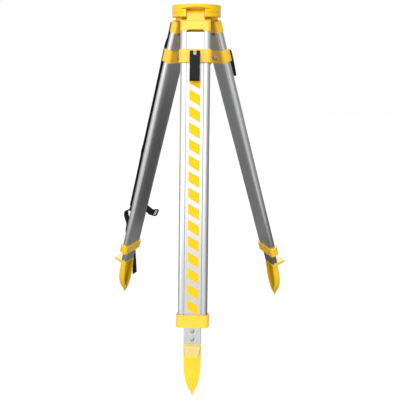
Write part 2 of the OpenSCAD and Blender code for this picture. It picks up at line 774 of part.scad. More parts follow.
module foot(k) {
    plug_w = 2 * (groove_in - inner_wall - seat_gap);
    plug_t = inner_t - 2 * (inner_wall + seat_gap);
    at_leg(k) color(YELLOW) difference() {
        union() {
            difference() {
                blade(0, 0);
                blade(foot_wall, foot_heel);
            }
            nib();
            pedal();
            along_leg(inner_bottom, inner_bottom + foot_lip_h)
                round_rect(inner_w + 2 * foot_lip, inner_t + 2 * foot_lip, 1.6);
            along_leg(inner_bottom - plug_len, inner_bottom + foot_wall + eps)
                square([plug_w, plug_t], center = true);
        }
        for (s = foot_rivets_at) through_pin(foot_rivet_r + hole_gap, -leg_t, leg_t, 0, -s);
        through_pin(foot_hole_r, -leg_t, 0, 0, -inner_bottom - foot_hole_at);
    }
}

module foot_rivets(k) {
    at_leg(k) color(STEEL) for (s = foot_rivets_at) {
        rivet(0, -s, -1, inner_t / 2, -inner_t / 2, rivet_dome_r, rivet_dome_h, foot_rivet_r);
        translate([0, inner_t / 2, -s]) rotate([-90, 0, 0]) dome(rivet_dome_r - 1.8, rivet_dome_h / 2);
    }
}

// Straps

function unit(v) = v / norm(v);

// A flat strip of webbing through the points, its width along the leg's face.
module webbing(points) {
    last = len(points) - 1;
    tangents = [for (i = [0 : last]) unit(points[min(i + 1, last)] - points[max(i - 1, 0)])];
    rings = [for (i = [0 : last])
        let (across = unit([tangents[i].z, 0, -tangents[i].x]) * strap_w / 2,
             thick = unit(cross(tangents[i], across)) * strap_t / 2)
        each [points[i] + across + thick, points[i] - across + thick,
              points[i] - across - thick, points[i] + across - thick]];
    sides = [for (i = [0 : last - 1], j = [0 : 3])
        let (a = 4 * i + j, b = 4 * i + (j + 1) % 4)
        each [[a, b, b + 4], [a, b + 4, a + 4]]];
    end = 4 * last;
    ends = [[0, 2, 1], [0, 3, 2], [end, end + 1, end + 2], [end, end + 2, end + 3]];
    polyhedron(rings, concat(sides, ends));
}

// Points of a strap given as across, down the leg and out from its middle.
function strap_points(list) = [for (p = list) [p[0], -p[2], -p[1]]];

out_face = rail_r + strap_clear + strap_t / 2;
out_cap = cap_t / 2 + strap_clear + strap_t / 2;
out_collar = plate_face + strap_clear + strap_t / 2;
out_guide = guide_t / 2 + strap_clear + strap_t / 2;

// The carry strap lies on the cap, clears the collar all the way, and ends on the rail.
CARRY_ROUTE = concat(
    [for (p = [[8, 0], [28, 0], [50, 0.8]]) [strap_mid, cap_top + p[0], out_cap + p[1]]],
    [for (p = [[-15, 0], [-1, 1], [19, 1.4], [41, 0.8], [81, 0]])
        [strap_mid, collar_top + p[0], out_collar + p[1]]],
    [for (p = [[-384, 0.2], [-264, 1], [-239, 2.4], [-214, 1], [-124, 0], [-22, 0], [-16, -1.6]])
        [strap_mid, strap_low + p[0], out_collar + p[1]]],
    [for (p = [[-9, 0.6], [-4, 0], [10, 0]]) [strap_mid, strap_low + p[0], out_face + p[1]]]);

// The closing strap loops out from its rivet, crosses the leg and hangs past the guide.
tail_mid = -40;
CLOSING_ROUTE = concat(
    [for (p = [[-8, strap_lap], [8, strap_lap], [15, 5.4], [20, 12.4], [27, 18.4], [36, 20.4],
               [47, 18.4], [58, 12.4], [68, 5.4], [78, 1], [88, 0]])
        [strap_mid, strap_low + p[0], out_face + p[1]]],
    [for (p = [[0.02, 98, 0], [0.11, 110, 0], [0.29, 124, 0], [0.53, 138, 1.4]])
        [strap_mid + (tail_mid - strap_mid) * p[0], strap_low + p[1], out_face + p[2]]],
    [for (p = [[0.73, 150, -1], [0.88, 162, 0], [0.97, 174, 0], [1, 188, 0], [1, 200, 0],
               [1, 216, -4.6], [1, 254, -17], [1, 292, -29.3], [1, 332, -42.3]])
        [strap_mid + (tail_mid - strap_mid) * p[0], strap_low + p[1], out_guide + p[2]]]);

// The buckle strap goes round the rail's edge, from which its places across are measured.
BUCKLE_ROUTE = [
    for (p = [[25.2, 14, 0], [14.2, 15, 0], [4.2, 17, -0.2], [-1.8, 19, -1.6], [-6.8, 22, -6.1],
              [-11.8, 27, -11.6], [-19.8, 34, -17.6], [-28.8, 43, -22.6], [-37.8, 52, -26.1],
              [-45.8, 59, -28.1]])
        [p[0] - leg_w / 2, strap_low + p[1], out_face + p[2]]];

// Outer faces of the straps under the three rivets' heads.
strap_rivet_faces = [
    out_cap + strap_t / 2, out_face + strap_lap + strap_t / 2, out_face + strap_t / 2];

module rivet_holes() {
    for (p = strap_rivets_at) through_pin(strap_rivet_r + hole_gap, -cap_t, 0, p[0], -p[1]);
}

module carry_strap() {
    at_leg(2) color(BLACK) difference() {
        webbing(strap_points(CARRY_ROUTE));
        rivet_holes();
    }
}

module closing_strap() {
    at_leg(2) color(BLACK) difference() {
        webbing(strap_points(CLOSING_ROUTE));
        rivet_holes();
    }
}

module buckle_strap() {
    at_leg(2) color(BLACK) difference() {
        webbing(strap_points(BUCKLE_ROUTE));
        rivet_holes();
    }
}

// The buckle, a flat frame with two slots, at the end of its strap.
module strap_buckle() {
    end = strap_points(BUCKLE_ROUTE)[len(BUCKLE_ROUTE) - 1];
    before = strap_points(BUCKLE_ROUTE)[len(BUCKLE_ROUTE) - 2];
    way = unit(end - before);
    turn = atan2(way.y, way.x);
    tip = asin(way.z);
    at_leg(2) translate(end) rotate([0, -tip, turn]) color(BLACK) difference() {
        translate([buckle_h / 2 + 0.2, 0, 0]) rotate([90, 0, 0]) translate([0, 0, -buckle_t / 2])
            linear_extrude(buckle_t) round_rect(buckle_h, buckle_w, 4);
        for (x = [6, 15, 23])
            translate([x - buckle_bar / 2, -buckle_t, -strap_w / 2])
                cube([buckle_bar, 2 * buckle_t, strap_w]);
    }
}

module strap_rivets() {
    at_leg(2) color(STEEL) {
        for (i = [0 : len(strap_rivets_at) - 1])
            rivet(strap_rivets_at[i][0], -strap_rivets_at[i][1], -1, strap_rivet_faces[i] + hole_gap,
                rail_r - strap_rivet_deep, strap_rivet_head_r, strap_rivet_head_h, strap_rivet_r);
    }
}

head_casting();
hinge_bolts();
hinge_nuts();
friction_washers();
arm_screw();
centring_arm();
slot_bush();
screw_sleeve();
centring_screw();
screw_knob();
for (k = LEGS) {
    leg_cap(k);
    side_rails(k);
    cap_rivets(k);
    lower_guide(k);
    guide_rivets(k);
    inner_leg(k);
    clamp_collar(k);
    clamp_plate(k);
    clamp_bolt(k);
    clamp_nut(k);
    lever_pin(k);
    clamp_lever(k);
    foot(k);
    foot_rivets(k);
}
carry_strap();
closing_strap();
buckle_strap();
strap_buckle();
strap_rivets();
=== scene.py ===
"""Looks of a construction tripod with a flat head and three telescoping legs.

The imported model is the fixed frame. The castings, rails and levers keep their CAD shapes and
get their finishes here. The webbing, its buckle and stitches, the threaded screw, the hexagon
fasteners and the marks on the inner legs are surfaces worked out here with numpy.
Everything is in metres, +Z up, with the origin at the centre of the head's top face.
"""

import logging
import math
from abc import ABC, abstractmethod
from dataclasses import dataclass, field
from enum import Enum
from typing import Optional, Sequence, Union

import bpy
import numpy as np
from mathutils import Matrix, Vector


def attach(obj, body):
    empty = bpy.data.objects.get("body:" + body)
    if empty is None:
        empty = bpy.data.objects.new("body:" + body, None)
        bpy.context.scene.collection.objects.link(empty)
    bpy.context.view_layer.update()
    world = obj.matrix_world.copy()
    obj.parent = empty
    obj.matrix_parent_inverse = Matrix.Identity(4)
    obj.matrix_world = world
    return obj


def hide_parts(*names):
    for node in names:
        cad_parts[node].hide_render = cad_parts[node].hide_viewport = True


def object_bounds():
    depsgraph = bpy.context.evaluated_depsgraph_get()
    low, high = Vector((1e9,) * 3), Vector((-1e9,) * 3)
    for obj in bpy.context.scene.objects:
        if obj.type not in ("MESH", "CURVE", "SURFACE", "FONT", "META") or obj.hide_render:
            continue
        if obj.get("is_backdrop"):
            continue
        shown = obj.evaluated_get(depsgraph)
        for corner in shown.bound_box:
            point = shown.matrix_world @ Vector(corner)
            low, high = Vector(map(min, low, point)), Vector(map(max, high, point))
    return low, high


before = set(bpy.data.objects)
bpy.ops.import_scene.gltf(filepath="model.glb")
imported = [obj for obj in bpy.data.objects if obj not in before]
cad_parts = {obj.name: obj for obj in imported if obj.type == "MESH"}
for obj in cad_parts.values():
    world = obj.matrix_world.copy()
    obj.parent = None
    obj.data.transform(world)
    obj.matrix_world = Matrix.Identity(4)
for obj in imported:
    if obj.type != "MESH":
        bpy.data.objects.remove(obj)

LOG = logging.getLogger("tripod")
Array = np.ndarray
Triple = tuple[float, float, float]
Colour = Triple
Object = bpy.types.Object
Material = bpy.types.Material
Finishes = dict[str, Material]
Socket = bpy.types.NodeSocket
Outputs = bpy.types.bpy_prop_collection
Source = Union[Socket, float, Colour]
Inputs = dict[str, Source]
MM = 0.001


# Places


@dataclass(frozen=True)
class LegFrame:
    """Where one leg hangs: its number, its hinge and its lean."""

    number: int
    hinge_out: float = 43.3 * MM
    hinge_drop: float = 25.0 * MM
    splay: float = math.radians(18.0)

    def matrix(self) -> Matrix:
        """Returns the matrix from the hanging leg's axes to the part's frame."""
        turn = Matrix.Rotation(math.radians(-120.0 * (self.number - 1)), 4, "Z")
        shift = Matrix.Translation((0.0, -self.hinge_out, -self.hinge_drop))
        return turn @ shift @ Matrix.Rotation(-self.splay, 4, "X")

    def place(self, across: Array, down: Array, out: Array) -> Array:
        """Places leg points in the part's frame.

        The three arrays are distances across the leg, down it from the hinge pin and
        outwards from its middle plane. A point is the leg's matrix times (across, -out, -down).

        Args:
            across: Distances to the leg's own right.
            down: Distances down the leg.
            out: Distances outwards.

        Returns:
            Points with one more axis, of length 3.
        """
        local = np.stack(np.broadcast_arrays(across, -np.asarray(out), -np.asarray(down)), axis=-1)
        return placed(local, self.matrix())

    def outwards(self) -> Array:
        """Returns the direction out of the leg, as a direction of the part's frame."""
        return -np.array(self.matrix())[:3, 1]


LEGS = tuple(LegFrame(number) for number in (1, 2, 3))


# Surfaces


@dataclass
class Surface:
    """A mesh being put together from grids of points, with one UV map in metres."""

    points: list[Array] = field(default_factory=list)
    faces: list[Array] = field(default_factory=list)
    uvs: list[Array] = field(default_factory=list)
    count: int = 0

    def grid(self, points: Array, uv: Optional[Array] = None, wrap: bool = False,
             flip: bool = False, loop: bool = False) -> None:
        """Adds a grid of quads.

        Point (i, j) is joined to (i+1, j), (i+1, j+1) and (i, j+1), for all i and j at once.

        Args:
            points: Array of shape (rows, columns, 3).
            uv: Array of shape (rows, columns + 1 if wrapped, 2), or none for zeros.
            wrap: Whether the last column joins the first.
            flip: Whether the faces are turned round.
            loop: Whether the last row joins the first; such a grid takes no UV.
        """
        rows, columns = points.shape[:2]
        last = columns if wrap else columns - 1
        i, j = np.meshgrid(np.arange(rows if loop else rows - 1), np.arange(last), indexing="ij")
        n, k = (i + 1) % rows, (j + 1) % columns
        start, end = i * columns, n * columns
        quads = np.stack([start + j, end + j, end + k, start + k], axis=-1)
        corners = np.zeros(quads.shape + (2,)) if uv is None else np.stack(
            [uv[i, j], uv[i + 1, j], uv[i + 1, j + 1], uv[i, j + 1]], axis=2)
        quads, corners = quads.reshape(-1, 4), corners.reshape(-1, 4, 2)
        if flip:
            quads, corners = quads[:, ::-1], corners[:, ::-1]
        self.points.append(points.reshape(-1, 3))
        self.faces.append(quads + self.count)
        self.uvs.append(corners)
        self.count += rows * columns

    def tube(self, rings: Array, uv: Optional[Array] = None, flip: bool = False) -> None:
        """Adds a closed tube of rings.

        The quads over an end join points j and j + 1 of its ring to the two that face them.

        Args:
            rings: Array of shape (rings, points round, 3), with an even number of points.
            uv: Array of shape (rings, points round + 1, 2), or none.
            flip: Whether the faces are turned round.
        """
        start, count = self.count, rings.shape[1]
        self.grid(rings, uv, wrap=True, flip=flip)
        j = np.arange(count // 2 - 1)
        cover = np.stack([j, j + 1, count - 2 - j, count - 1 - j], axis=-1)
        for ring, back in ((0, flip), (len(rings) - 1, not flip)):
            quads = cover[:, ::-1] if back else cover
            self.faces.append(quads + start + ring * count)
            self.uvs.append(np.zeros(quads.shape + (2,)) if uv is None else uv[ring][quads])

    def piece(self, name: str, material: Material, smooth: bool = True) -> Object:
        """Makes the object.

        Args:
            name: The piece's name.
            material: Its finish.
            smooth: Whether its faces are shaded smooth.

        Returns:
            The new object, at the origin, with its place in its mesh.
        """
        points, faces = np.concatenate(self.points), np.concatenate(self.faces)
        mesh = bpy.data.meshes.new(name)
        mesh.vertices.add(len(points))
        mesh.vertices.foreach_set("co", points.astype(np.float32).ravel())
        mesh.loops.add(faces.size)
        mesh.loops.foreach_set("vertex_index", faces.astype(np.int32).ravel())
        mesh.polygons.add(len(faces))
        mesh.polygons.foreach_set("loop_start", np.arange(0, faces.size, 4, dtype=np.int32))
        layer = mesh.uv_layers.new(name="UVMap")
        layer.data.foreach_set("uv", np.concatenate(self.uvs).astype(np.float32).ravel())
        mesh.update(calc_edges=True)
        mesh.validate()
        mesh.polygons.foreach_set("use_smooth", np.full(len(mesh.polygons), smooth))
        mesh.materials.append(material)
        thing = bpy.data.objects.new(name, mesh)
        bpy.context.scene.collection.objects.link(thing)
        LOG.info("piece %s: %d points, %d faces", name, len(points), len(faces))
        return thing


def lengths(path: Array) -> Array:
    """Returns the length of a path up to each of its points."""
    return np.concatenate([[0.0], np.cumsum(np.linalg.norm(np.diff(path, axis=0), axis=1))])


def smooth_path(points: Array, step: float) -> Array:
    """Runs a smooth curve through points.

    Between two points the curve is the cubic whose slope at each is half the step from the
    point before to the point after, and it is then resampled at an even step of length.

    Args:
        points: Array of shape (n, 3).
        step: Distance between two points of the result.

    Returns:
        Array of shape (m, 3).
    """
    p = np.vstack([2 * points[0] - points[1], points, 2 * points[-1] - points[-2]])
    t = np.linspace(0.0, 1.0, 16, endpoint=False)[None, :, None]
    a, b, c, d = (p[k:len(p) - 3 + k, None, :] for k in range(4))
    curve = 0.5 * (2 * b + (c - a) * t + (2 * a - 5 * b + 4 * c - d) * t**2
                   + (3 * b - a - 3 * c + d) * t**3)
    curve = np.vstack([curve.reshape(-1, 3), points[-1]])
    length = lengths(curve)
    even = np.linspace(0.0, length[-1], max(4, int(round(length[-1] / step)) + 1))
    return np.stack([np.interp(even, length, curve[:, k]) for k in range(3)], axis=-1)


def unit(vectors: Array) -> Array:
    """Returns the vectors at length one."""
    return vectors / np.maximum(np.linalg.norm(vectors, axis=-1, keepdims=True), 1e-12)


def turn_angles(count: int) -> Array:
    """Returns evenly spaced angles of one turn."""
    return np.linspace(0.0, 2.0 * math.pi, count, endpoint=False)


def placed(points: Array, axes: Matrix) -> Array:
    """Returns points carried by a matrix: the matrix times each point."""
    full = np.array(axes)
    return points @ full[:3, :3].T + full[:3, 3]


def turned(radii: Array, heights: Array, axes: Matrix) -> Array:
    """Turns a profile about an axis.

    Point (i, j) is the axes' matrix times (r cos a, r sin a, h), where r = radii[i, j],
    h = heights[i] and a is the j-th of the evenly spaced angles.

    Args:
        radii: Array of shape (rows, columns).
        heights: Array of shape (rows,).
        axes: Matrix whose third axis is the turning axis.

    Returns:
        Array of shape (rows, columns, 3).
    """
    angle = turn_angles(radii.shape[1])[None, :]
    flat = np.broadcast_arrays(radii * np.cos(angle), radii * np.sin(angle), heights[:, None])
    return placed(np.stack(flat, axis=-1), axes)


def lathed(radii: Array, heights: Array, axes: Matrix, count: int) -> Array:
    """Turns a round profile about an axis, as `turned` does, at the given number of angles."""
    return turned(np.repeat(radii[:, None], count, axis=1), heights, axes)


def chamfered(corner: float, depths: Array, count: int) -> Array:
    """Returns the radii of a chamfered hexagon.

    At angle a the hexagon's is corner * cos(30 deg) / cos(b), where b is a folded into +-30
    deg. The result is the lesser of that and 0.83 * corner + 1.7 * depth, the 30 degree cone
    that cuts its corners.

    Args:
        corner: Radius to the corners.
        depths: Distances below the chamfered face.
        count: Number of angles.

    Returns:
        Array of shape (depths, count).
    """
    folded = np.mod(turn_angles(count), math.pi / 3) - math.pi / 6
    flat = corner * math.cos(math.pi / 6) / np.cos(folded)
    return np.minimum(flat[None, :], 0.83 * corner + 1.7 * depths[:, None])


def threaded(major: float, pitch: float, heights: Array, count: int) -> Array:
    """Returns the radii of a screw thread.

    With p the fractional part of height / pitch - angle / (2 pi), the radius is the major one
    less 0.61 * pitch * (1 - w), where w = clip(1.5 - |4 p - 2| , 0, 1) is a flat-topped vee.

    Args:
        major: Radius over the thread.
        pitch: Distance from thread to thread.
        heights: Heights along the axis.
        count: Number of angles.

    Returns:
        Array of shape (heights, count).
    """
    phase = np.mod(heights[:, None] / pitch - turn_angles(count)[None, :] / (2.0 * math.pi), 1.0)
    crest = np.clip(1.5 - np.abs(4.0 * phase - 2.0), 0.0, 1.0)
    return major - 0.61 * pitch * (1.0 - crest)


def swept(path: Array, across: Array, width: float, thickness: float,
          count: int = 20) -> tuple[Array, Array]:
    """Carries the section of a flat strap along a path.

    The section is a flat rounded bar: at angle a the point lies across by half the width times
    the signed power 0.35 of cos a, and through by half the thickness times the signed power
    0.8 of sin a. Through is square to across and to the path.

    Args:
        path: Array of shape (n, 3).
        across: Unit vectors across the strap, of shape (n, 3).
        width: Width of the strap.
        thickness: Thickness of the strap.
        count: Points round the section.

    Returns:
        Rings of shape (n, count, 3) and their UVs in metres.
    """
    through = unit(np.cross(across, unit(np.gradient(path, axis=0))))
    angle = turn_angles(count)
    wide = np.sign(np.cos(angle)) * np.abs(np.cos(angle))**0.35 * width / 2
    thick = np.sign(np.sin(angle)) * np.abs(np.sin(angle))**0.8 * thickness / 2
    rings = (path[:, None, :] + across[:, None, :] * wide[None, :, None]
             + through[:, None, :] * thick[None, :, None])
    uv = np.broadcast_arrays(np.append(wide, wide[0])[None, :], lengths(path)[:, None])
    return rings, np.stack(uv, axis=-1)


# Shader nodes


@dataclass
class Wiring:
    """Adds nodes to one node tree, with constants and links given in one call."""

    tree: bpy.types.NodeTree

    def __post_init__(self) -> None:
        """Empties the tree."""
        self.tree.nodes.clear()

    def add(self, kind: str, inputs: Optional[dict[Union[str, int], Source]] = None,
            **settings: object) -> Outputs:
        """Adds a node.

        Args:
            kind: The node's type name without its "ShaderNode" start.
            inputs: Sockets by name or number, each with a constant or a source socket.
            **settings: Properties of the node.

        Returns:
            The new node's outputs.
        """
        node = self.tree.nodes.new(kind if kind.startswith("NodeGroup") else "ShaderNode" + kind)
        for name, value in settings.items():
            setattr(node, name, value)
        for key, value in (inputs or {}).items():
            self.feed(node.inputs[key], value)
        return node.outputs

    def feed(self, socket: Socket, value: Source) -> None:
        """Links a source to a socket, or sets the socket's constant."""
        if isinstance(value, bpy.types.NodeSocket):
            self.tree.links.new(value, socket)
        elif isinstance(value, tuple) and socket.type == "RGBA":
            socket.default_value = (*value, 1.0)
        else:
            socket.default_value = value

    def effect(self, kind: "Effect", vector: Source, **numbers: Source) -> Outputs:
        """Places a shared effect.

        Args:
            kind: Which effect.
            vector: The coordinates that it works in.
            **numbers: Its number inputs.

        Returns:
            The effect's outputs.
        """
        return self.add("Group", {"Vector": vector, **numbers}, node_tree=kind.group())

    def math(self, operation: str, a: Source, b: Source = 0.0, clamp: bool = False) -> Socket:
        """Returns the result of a Math node."""
        return self.add("Math", {0: a, 1: b}, operation=operation, use_clamp=clamp)[0]

    def times(self, a: Source, b: Source, clamp: bool = False) -> Socket:
        """Returns the product of two values."""
        return self.math("MULTIPLY", a, b, clamp)

    def vector(self, operation: str, a: Source, b: Source = (0.0, 0.0, 0.0)) -> Outputs:
        """Returns the outputs of a Vector Math node."""
        return self.add("VectorMath", {0: a, 1: b}, operation=operation)

    def layers(self, colour: Source, *coats: tuple[Source, Source]) -> Source:
        """Returns a colour with coats laid over it, each a mask and a colour."""
        for mask, over in coats:
            colour = self.add("Mix", {0: mask, 6: colour, 7: over}, data_type="RGBA")[2]
        return colour

    def span(self, value: Source, low: float, high: float, to_low: float = 0.0,
             to_high: float = 1.0) -> Socket:
        """Returns a value carried from one range to another, held at its ends."""
        return self.add("MapRange", {0: value, 1: low, 2: high, 3: to_low, 4: to_high})[0]

    def noise(self, vector: Source, scale: Source, detail: float = 2.0,
              roughness: float = 0.5) -> Socket:
        """Returns the value of a Noise Texture."""
        return self.add("TexNoise", {"Vector": vector, "Scale": scale, "Detail": detail,
                                     "Roughness": roughness})[0]

    def bump(self, height: Source, distance: float, normal: Source) -> Socket:
        """Returns the normal of a Bump node at full strength."""
        return self.add("Bump", {"Height": height, "Distance": distance, "Normal": normal,
                                 "Strength": 1.0})[0]


def rounded_edges(w: Wiring, given: Outputs) -> Inputs:
    """Rounds edges and marks where they rub bare.

    The normal is Blender's rounded one, averaged over the radius. The mask is how far it leans
    from the true one, times a noise, so that corners rub bare in patches.

    Args:
        w: The group's wiring.
        given: Its inputs.

    Returns:
        Its outputs by name.
    """
    bevel = w.add("Bevel", {"Radius": given["Radius"]}, samples=6)[0]
    flat = w.vector("DOT_PRODUCT", bevel, w.add("NewGeometry")["Normal"])["Value"]
    broken = w.span(w.noise(given["Vector"], 180.0, 4.0, 0.7), 0.35, 0.68)
    mask = w.times(w.times(w.math("SUBTRACT", 1.0, flat), 9.0, clamp=True), broken)
    return {"Mask": w.times(mask, given["Amount"], clamp=True), "Normal": bevel}


def fine_texture(w: Wiring, given: Outputs) -> Inputs:
    """Gives a skin a fine noise for its height and a wide one for its tint.

    Args:
        w: The group's wiring.
        given: Its inputs.

    Returns:
        Its outputs by name.
    """
    wide = w.noise(given["Vector"], 14.0, 3.0, 0.6)
    return {"Height": w.noise(given["Vector"], given["Scale"], 3.0), "Tint": w.span(wide, 0.3, 0.7)}


def extrusion_grain(w: Wiring, given: Outputs) -> Inputs:
    """Gives drawn metal its grain: noise stretched sixty times along the vector's third axis.

    Args:
        w: The group's wiring.
        given: Its inputs.

    Returns:
        Its outputs by name.
    """
    long = w.vector("MULTIPLY", given["Vector"], (1.0, 1.0, 1.0 / 60.0))[0]
    wide = w.noise(long, 260.0, 3.0, 0.6)
    return {"Height": w.noise(long, given["Scale"]), "Streak": w.span(wide, 0.3, 0.7)}


def weave(w: Wiring, given: Outputs) -> Inputs:
    """Weaves webbing on a UV map in metres, across in U and along in V.

    Ribs run along the webbing, and a herringbone of short threads leans one way on even ribs
    and the other way on odd ones. The mask follows the threads.

    Args:
        w: The group's wiring.
        given: Its inputs.

    Returns:
        Its outputs by name.
    """
    across, along = w.add("SeparateXYZ", {0: given["Vector"]})[:2]
    rib = w.math("DIVIDE", across, given["Rib"])
    lean = w.math("SUBTRACT", w.math("PINGPONG", rib, 1.0), 0.5)
    phase = w.math("ADD", w.math("DIVIDE", along, given["Thread"]), w.times(lean, 1.6))
    thread = w.math("SINE", w.times(phase, 2.0 * math.pi))
    valley = w.math("ABSOLUTE", w.math("SINE", w.times(rib, math.pi)))
    height = w.math("ADD", w.times(thread, 0.3), w.math("POWER", valley, 0.5))
    return {"Height": height, "Mask": w.span(thread, -1.0, 1.0)}


def dust(w: Wiring, given: Outputs) -> Inputs:
    """Masks dust: a soft noise where the surface faces up.

    Args:
        w: The group's wiring.
        given: Its inputs.

    Returns:
        Its outputs by name.
    """
    up = w.add("SeparateXYZ", {0: w.add("TexCoord")["Normal"]})[2]
    patches = w.span(w.noise(given["Vector"], 35.0, 5.0, 0.65), 0.42, 0.75)
    mask = w.times(patches, w.span(up, -0.2, 0.9, 0.15, 1.0))
    return {"Mask": w.times(mask, given["Amount"], clamp=True)}


class Effect(Enum):
    """The shared effects: what builds each, and its number inputs with their defaults."""

    ROUNDED_EDGES = (rounded_edges, {"Radius": 0.8 * MM, "Amount": 1.0})
    FINE_TEXTURE = (fine_texture, {"Scale": 900.0})
    EXTRUSION_GRAIN = (extrusion_grain, {"Scale": 1500.0})
    WEAVE = (weave, {"Rib": 2.1 * MM, "Thread": 1.1 * MM})
    DUST = (dust, {"Amount": 0.2})

    def group(self) -> bpy.types.NodeTree:
        """Returns the effect's node group, and builds it the first time.

        It takes the numbers and a vector. It puts out what its function makes: one called
        Normal is a vector, the others are numbers.
        """
        name = self.name.lower()
        tree = bpy.data.node_groups.get(name)
        if tree is None:
            tree = bpy.data.node_groups.new(name, "ShaderNodeTree")
            build, numbers = self.value
            for key, value in numbers.items():
                socket = tree.interface.new_socket(key, in_out="INPUT", socket_type="NodeSocketFloat")
                socket.default_value = value
            tree.interface.new_socket("Vector", in_out="INPUT", socket_type="NodeSocketVector")
            w = Wiring(tree)
            made = build(w, w.add("NodeGroupInput"))
            for key in made:
                result = "NodeSocketVector" if key == "Normal" else "NodeSocketFloat"
                tree.interface.new_socket(key, in_out="OUTPUT", socket_type=result)
            w.add("NodeGroupOutput", made)
        return tree


# Finishes


def new_material(name: str) -> tuple[Material, Wiring]:
    """Returns an empty node material of the given name, and its wiring."""
    material = bpy.data.materials.new(name)
    material.use_nodes = True
    return material, Wiring(material.node_tree)


@dataclass(frozen=True)
class Finish:
    """A finish, with the name of its material."""

    name: str

    def shader(self, w: Wiring, where: Socket) -> Inputs:
        """Adds the finish's own nodes.

        Args:
            w: The material's wiring.
            where: The object coordinates.

        Returns:
            The inputs of its Principled BSDF.
        """
        raise NotImplementedError

    def build(self) -> Material:
        """Returns the material."""
        material, w = new_material(self.name)
        surface = w.add("BsdfPrincipled", self.shader(w, w.add("TexCoord")["Object"]))
        w.add("OutputMaterial", {"Surface": surface[0]})
        return material


@dataclass(frozen=True)
class Enamel(Finish):
    """Yellow paint on a casting: a little orange peel, paler rubbed edges, and faint dust; where set, a
    pale painted highlight on the tops, partly scuffs, and painted shade in the hollows.
    """

    colour: Colour
    deep: Colour
    roughness: float = 0.34
    specular: float = 0.4
    coat: float = 0.1
    # Amount of the pale painted highlight on faces that face up, partly scuffs, in patches.
    scuff_and_highlight: float = 0.0
    # Amount of painted shade in the hollows.
    hollow_shade: float = 0.0
    machined: bool = False
    rubbed: Colour = (1.0, 0.74, 0.08)
    dusty: Colour = (0.74, 0.56, 0.16)
    # Pale colour of that painted highlight.
    scuffed_highlight_colour: Colour = (1.0, 0.92, 0.52)
    # Dark colour of that painted shade.
    hollow_shade_colour: Colour = (0.34, 0.20, 0.003)
    peel: float = 0.05 * MM
    ring_pitch: float = 0.9 * MM

    def shader(self, w: Wiring, where: Socket) -> Inputs:
        """Adds paint, rubbed edges and dust, and what the part has of scuffs with their painted
        highlight, painted shade in the hollows, and rings.
        """
        edges = w.effect(Effect.ROUNDED_EDGES, where, Radius=1.1 * MM, Amount=0.55)
        skin = w.effect(Effect.FINE_TEXTURE, where, Scale=520.0)
        film = w.effect(Effect.DUST, where, Amount=0.10)["Mask"]
        colour = w.layers(self.deep, (skin["Tint"], self.colour), (edges["Mask"], self.rubbed),
                          (film, self.dusty))
        # Painted highlight, partly scuffs: the tops turn pale in patches.
        if self.scuff_and_highlight:
            colour = w.layers(colour, (self.scuffs_and_top_highlight(w, where), self.scuffed_highlight_colour))
        # Painted shade: the hollows are darkened in the colour itself.
        if self.hollow_shade:
            colour = w.layers(colour, (self.painted_hollow_shade(w), self.hollow_shade_colour))
        gloss = w.span(skin["Tint"], 0.0, 1.0, self.roughness - 0.03, self.roughness + 0.05)
        height = skin["Height"]
        if self.machined:
            height = w.math("ADD", height, self.turning(w, where))
        return {"Base Color": colour, "Roughness": w.math("ADD", gloss, w.times(film, 0.4)),
                "Normal": w.bump(height, self.peel, edges["Normal"]),
                "Specular IOR Level": self.specular, "Coat Weight": self.coat, "Coat Roughness": 0.25}

    def scuffs_and_top_highlight(self, w: Wiring, where: Socket) -> Socket:
        """Returns a mask of scuffs with a painted highlight, on the faces that a boot presses on: those
        that face up, in soft patches.
        """
        up = w.add("SeparateXYZ", {0: w.add("TexCoord")["Normal"]})[2]
        patches = w.span(w.noise(where, 160.0, 5.0, 0.7), 0.3, 0.6, 0.6, 1.0)
        return w.times(w.times(w.span(up, 0.45, 0.8), patches), self.scuff_and_highlight)

    def painted_hollow_shade(self, w: Wiring) -> Socket:
        """Returns a mask of painted shade in the hollows: those shut in by the casting within 50 mm."""
        clear = w.add("AmbientOcclusion", {"Distance": 50.0 * MM}, samples=8, only_local=True)["AO"]
        return w.times(w.span(clear, 0.35, 0.7, 1.0, 0.0), self.hollow_shade)

    def turning(self, w: Wiring, where: Socket) -> Socket:
        """Returns fine rings about the head's axis, on its flat top alone."""
        x, y, z = w.add("SeparateXYZ", {0: where})
        radius = w.math("SQRT", w.math("ADD", w.times(x, x), w.times(y, y)))
        rings = w.math("SINE", w.times(radius, 2.0 * math.pi / self.ring_pitch))
        return w.times(w.times(rings, 0.35), w.span(z, -1.2 * MM, -0.2 * MM))


@dataclass(frozen=True)
class Anodised(Finish):
    """Satin anodised aluminium, with the grain of its extrusion down one leg."""

    leg: LegFrame
    colour: Colour = (0.57, 0.575, 0.585)
    dull: Colour = (0.50, 0.505, 0.515)
    bare: Colour = (0.86, 0.87, 0.88)
    dusty: Colour = (0.52, 0.50, 0.46)
    roughness: float = 0.36

    def shader(self, w: Wiring, where: Socket) -> Inputs:
        """Adds the grain in the leg's own axes, bare edges and dust."""
        back = self.leg.matrix().inverted()
        down = w.add("Mapping", {"Vector": where, "Rotation": back.to_euler("XYZ"),
                                 "Location": back.to_translation()}, vector_type="POINT")[0]
        edges = w.effect(Effect.ROUNDED_EDGES, where, Radius=0.6 * MM, Amount=0.8)
        grain = w.effect(Effect.EXTRUSION_GRAIN, down, Scale=1800.0)
        film = w.effect(Effect.DUST, where, Amount=0.12)["Mask"]
        colour = w.layers(self.dull, (grain["Streak"], self.colour), (edges["Mask"], self.bare),
                          (film, self.dusty))
        gloss = w.span(grain["Streak"], 0.0, 1.0, self.roughness + 0.05, self.roughness - 0.03)
        return {"Base Color": colour, "Metallic": w.span(film, 0.0, 1.0, 0.92, 0.2),
                "Roughness": w.math("ADD", gloss, w.times(film, 0.3)),
                "Normal": w.bump(grain["Height"], 0.03 * MM, edges["Normal"])}


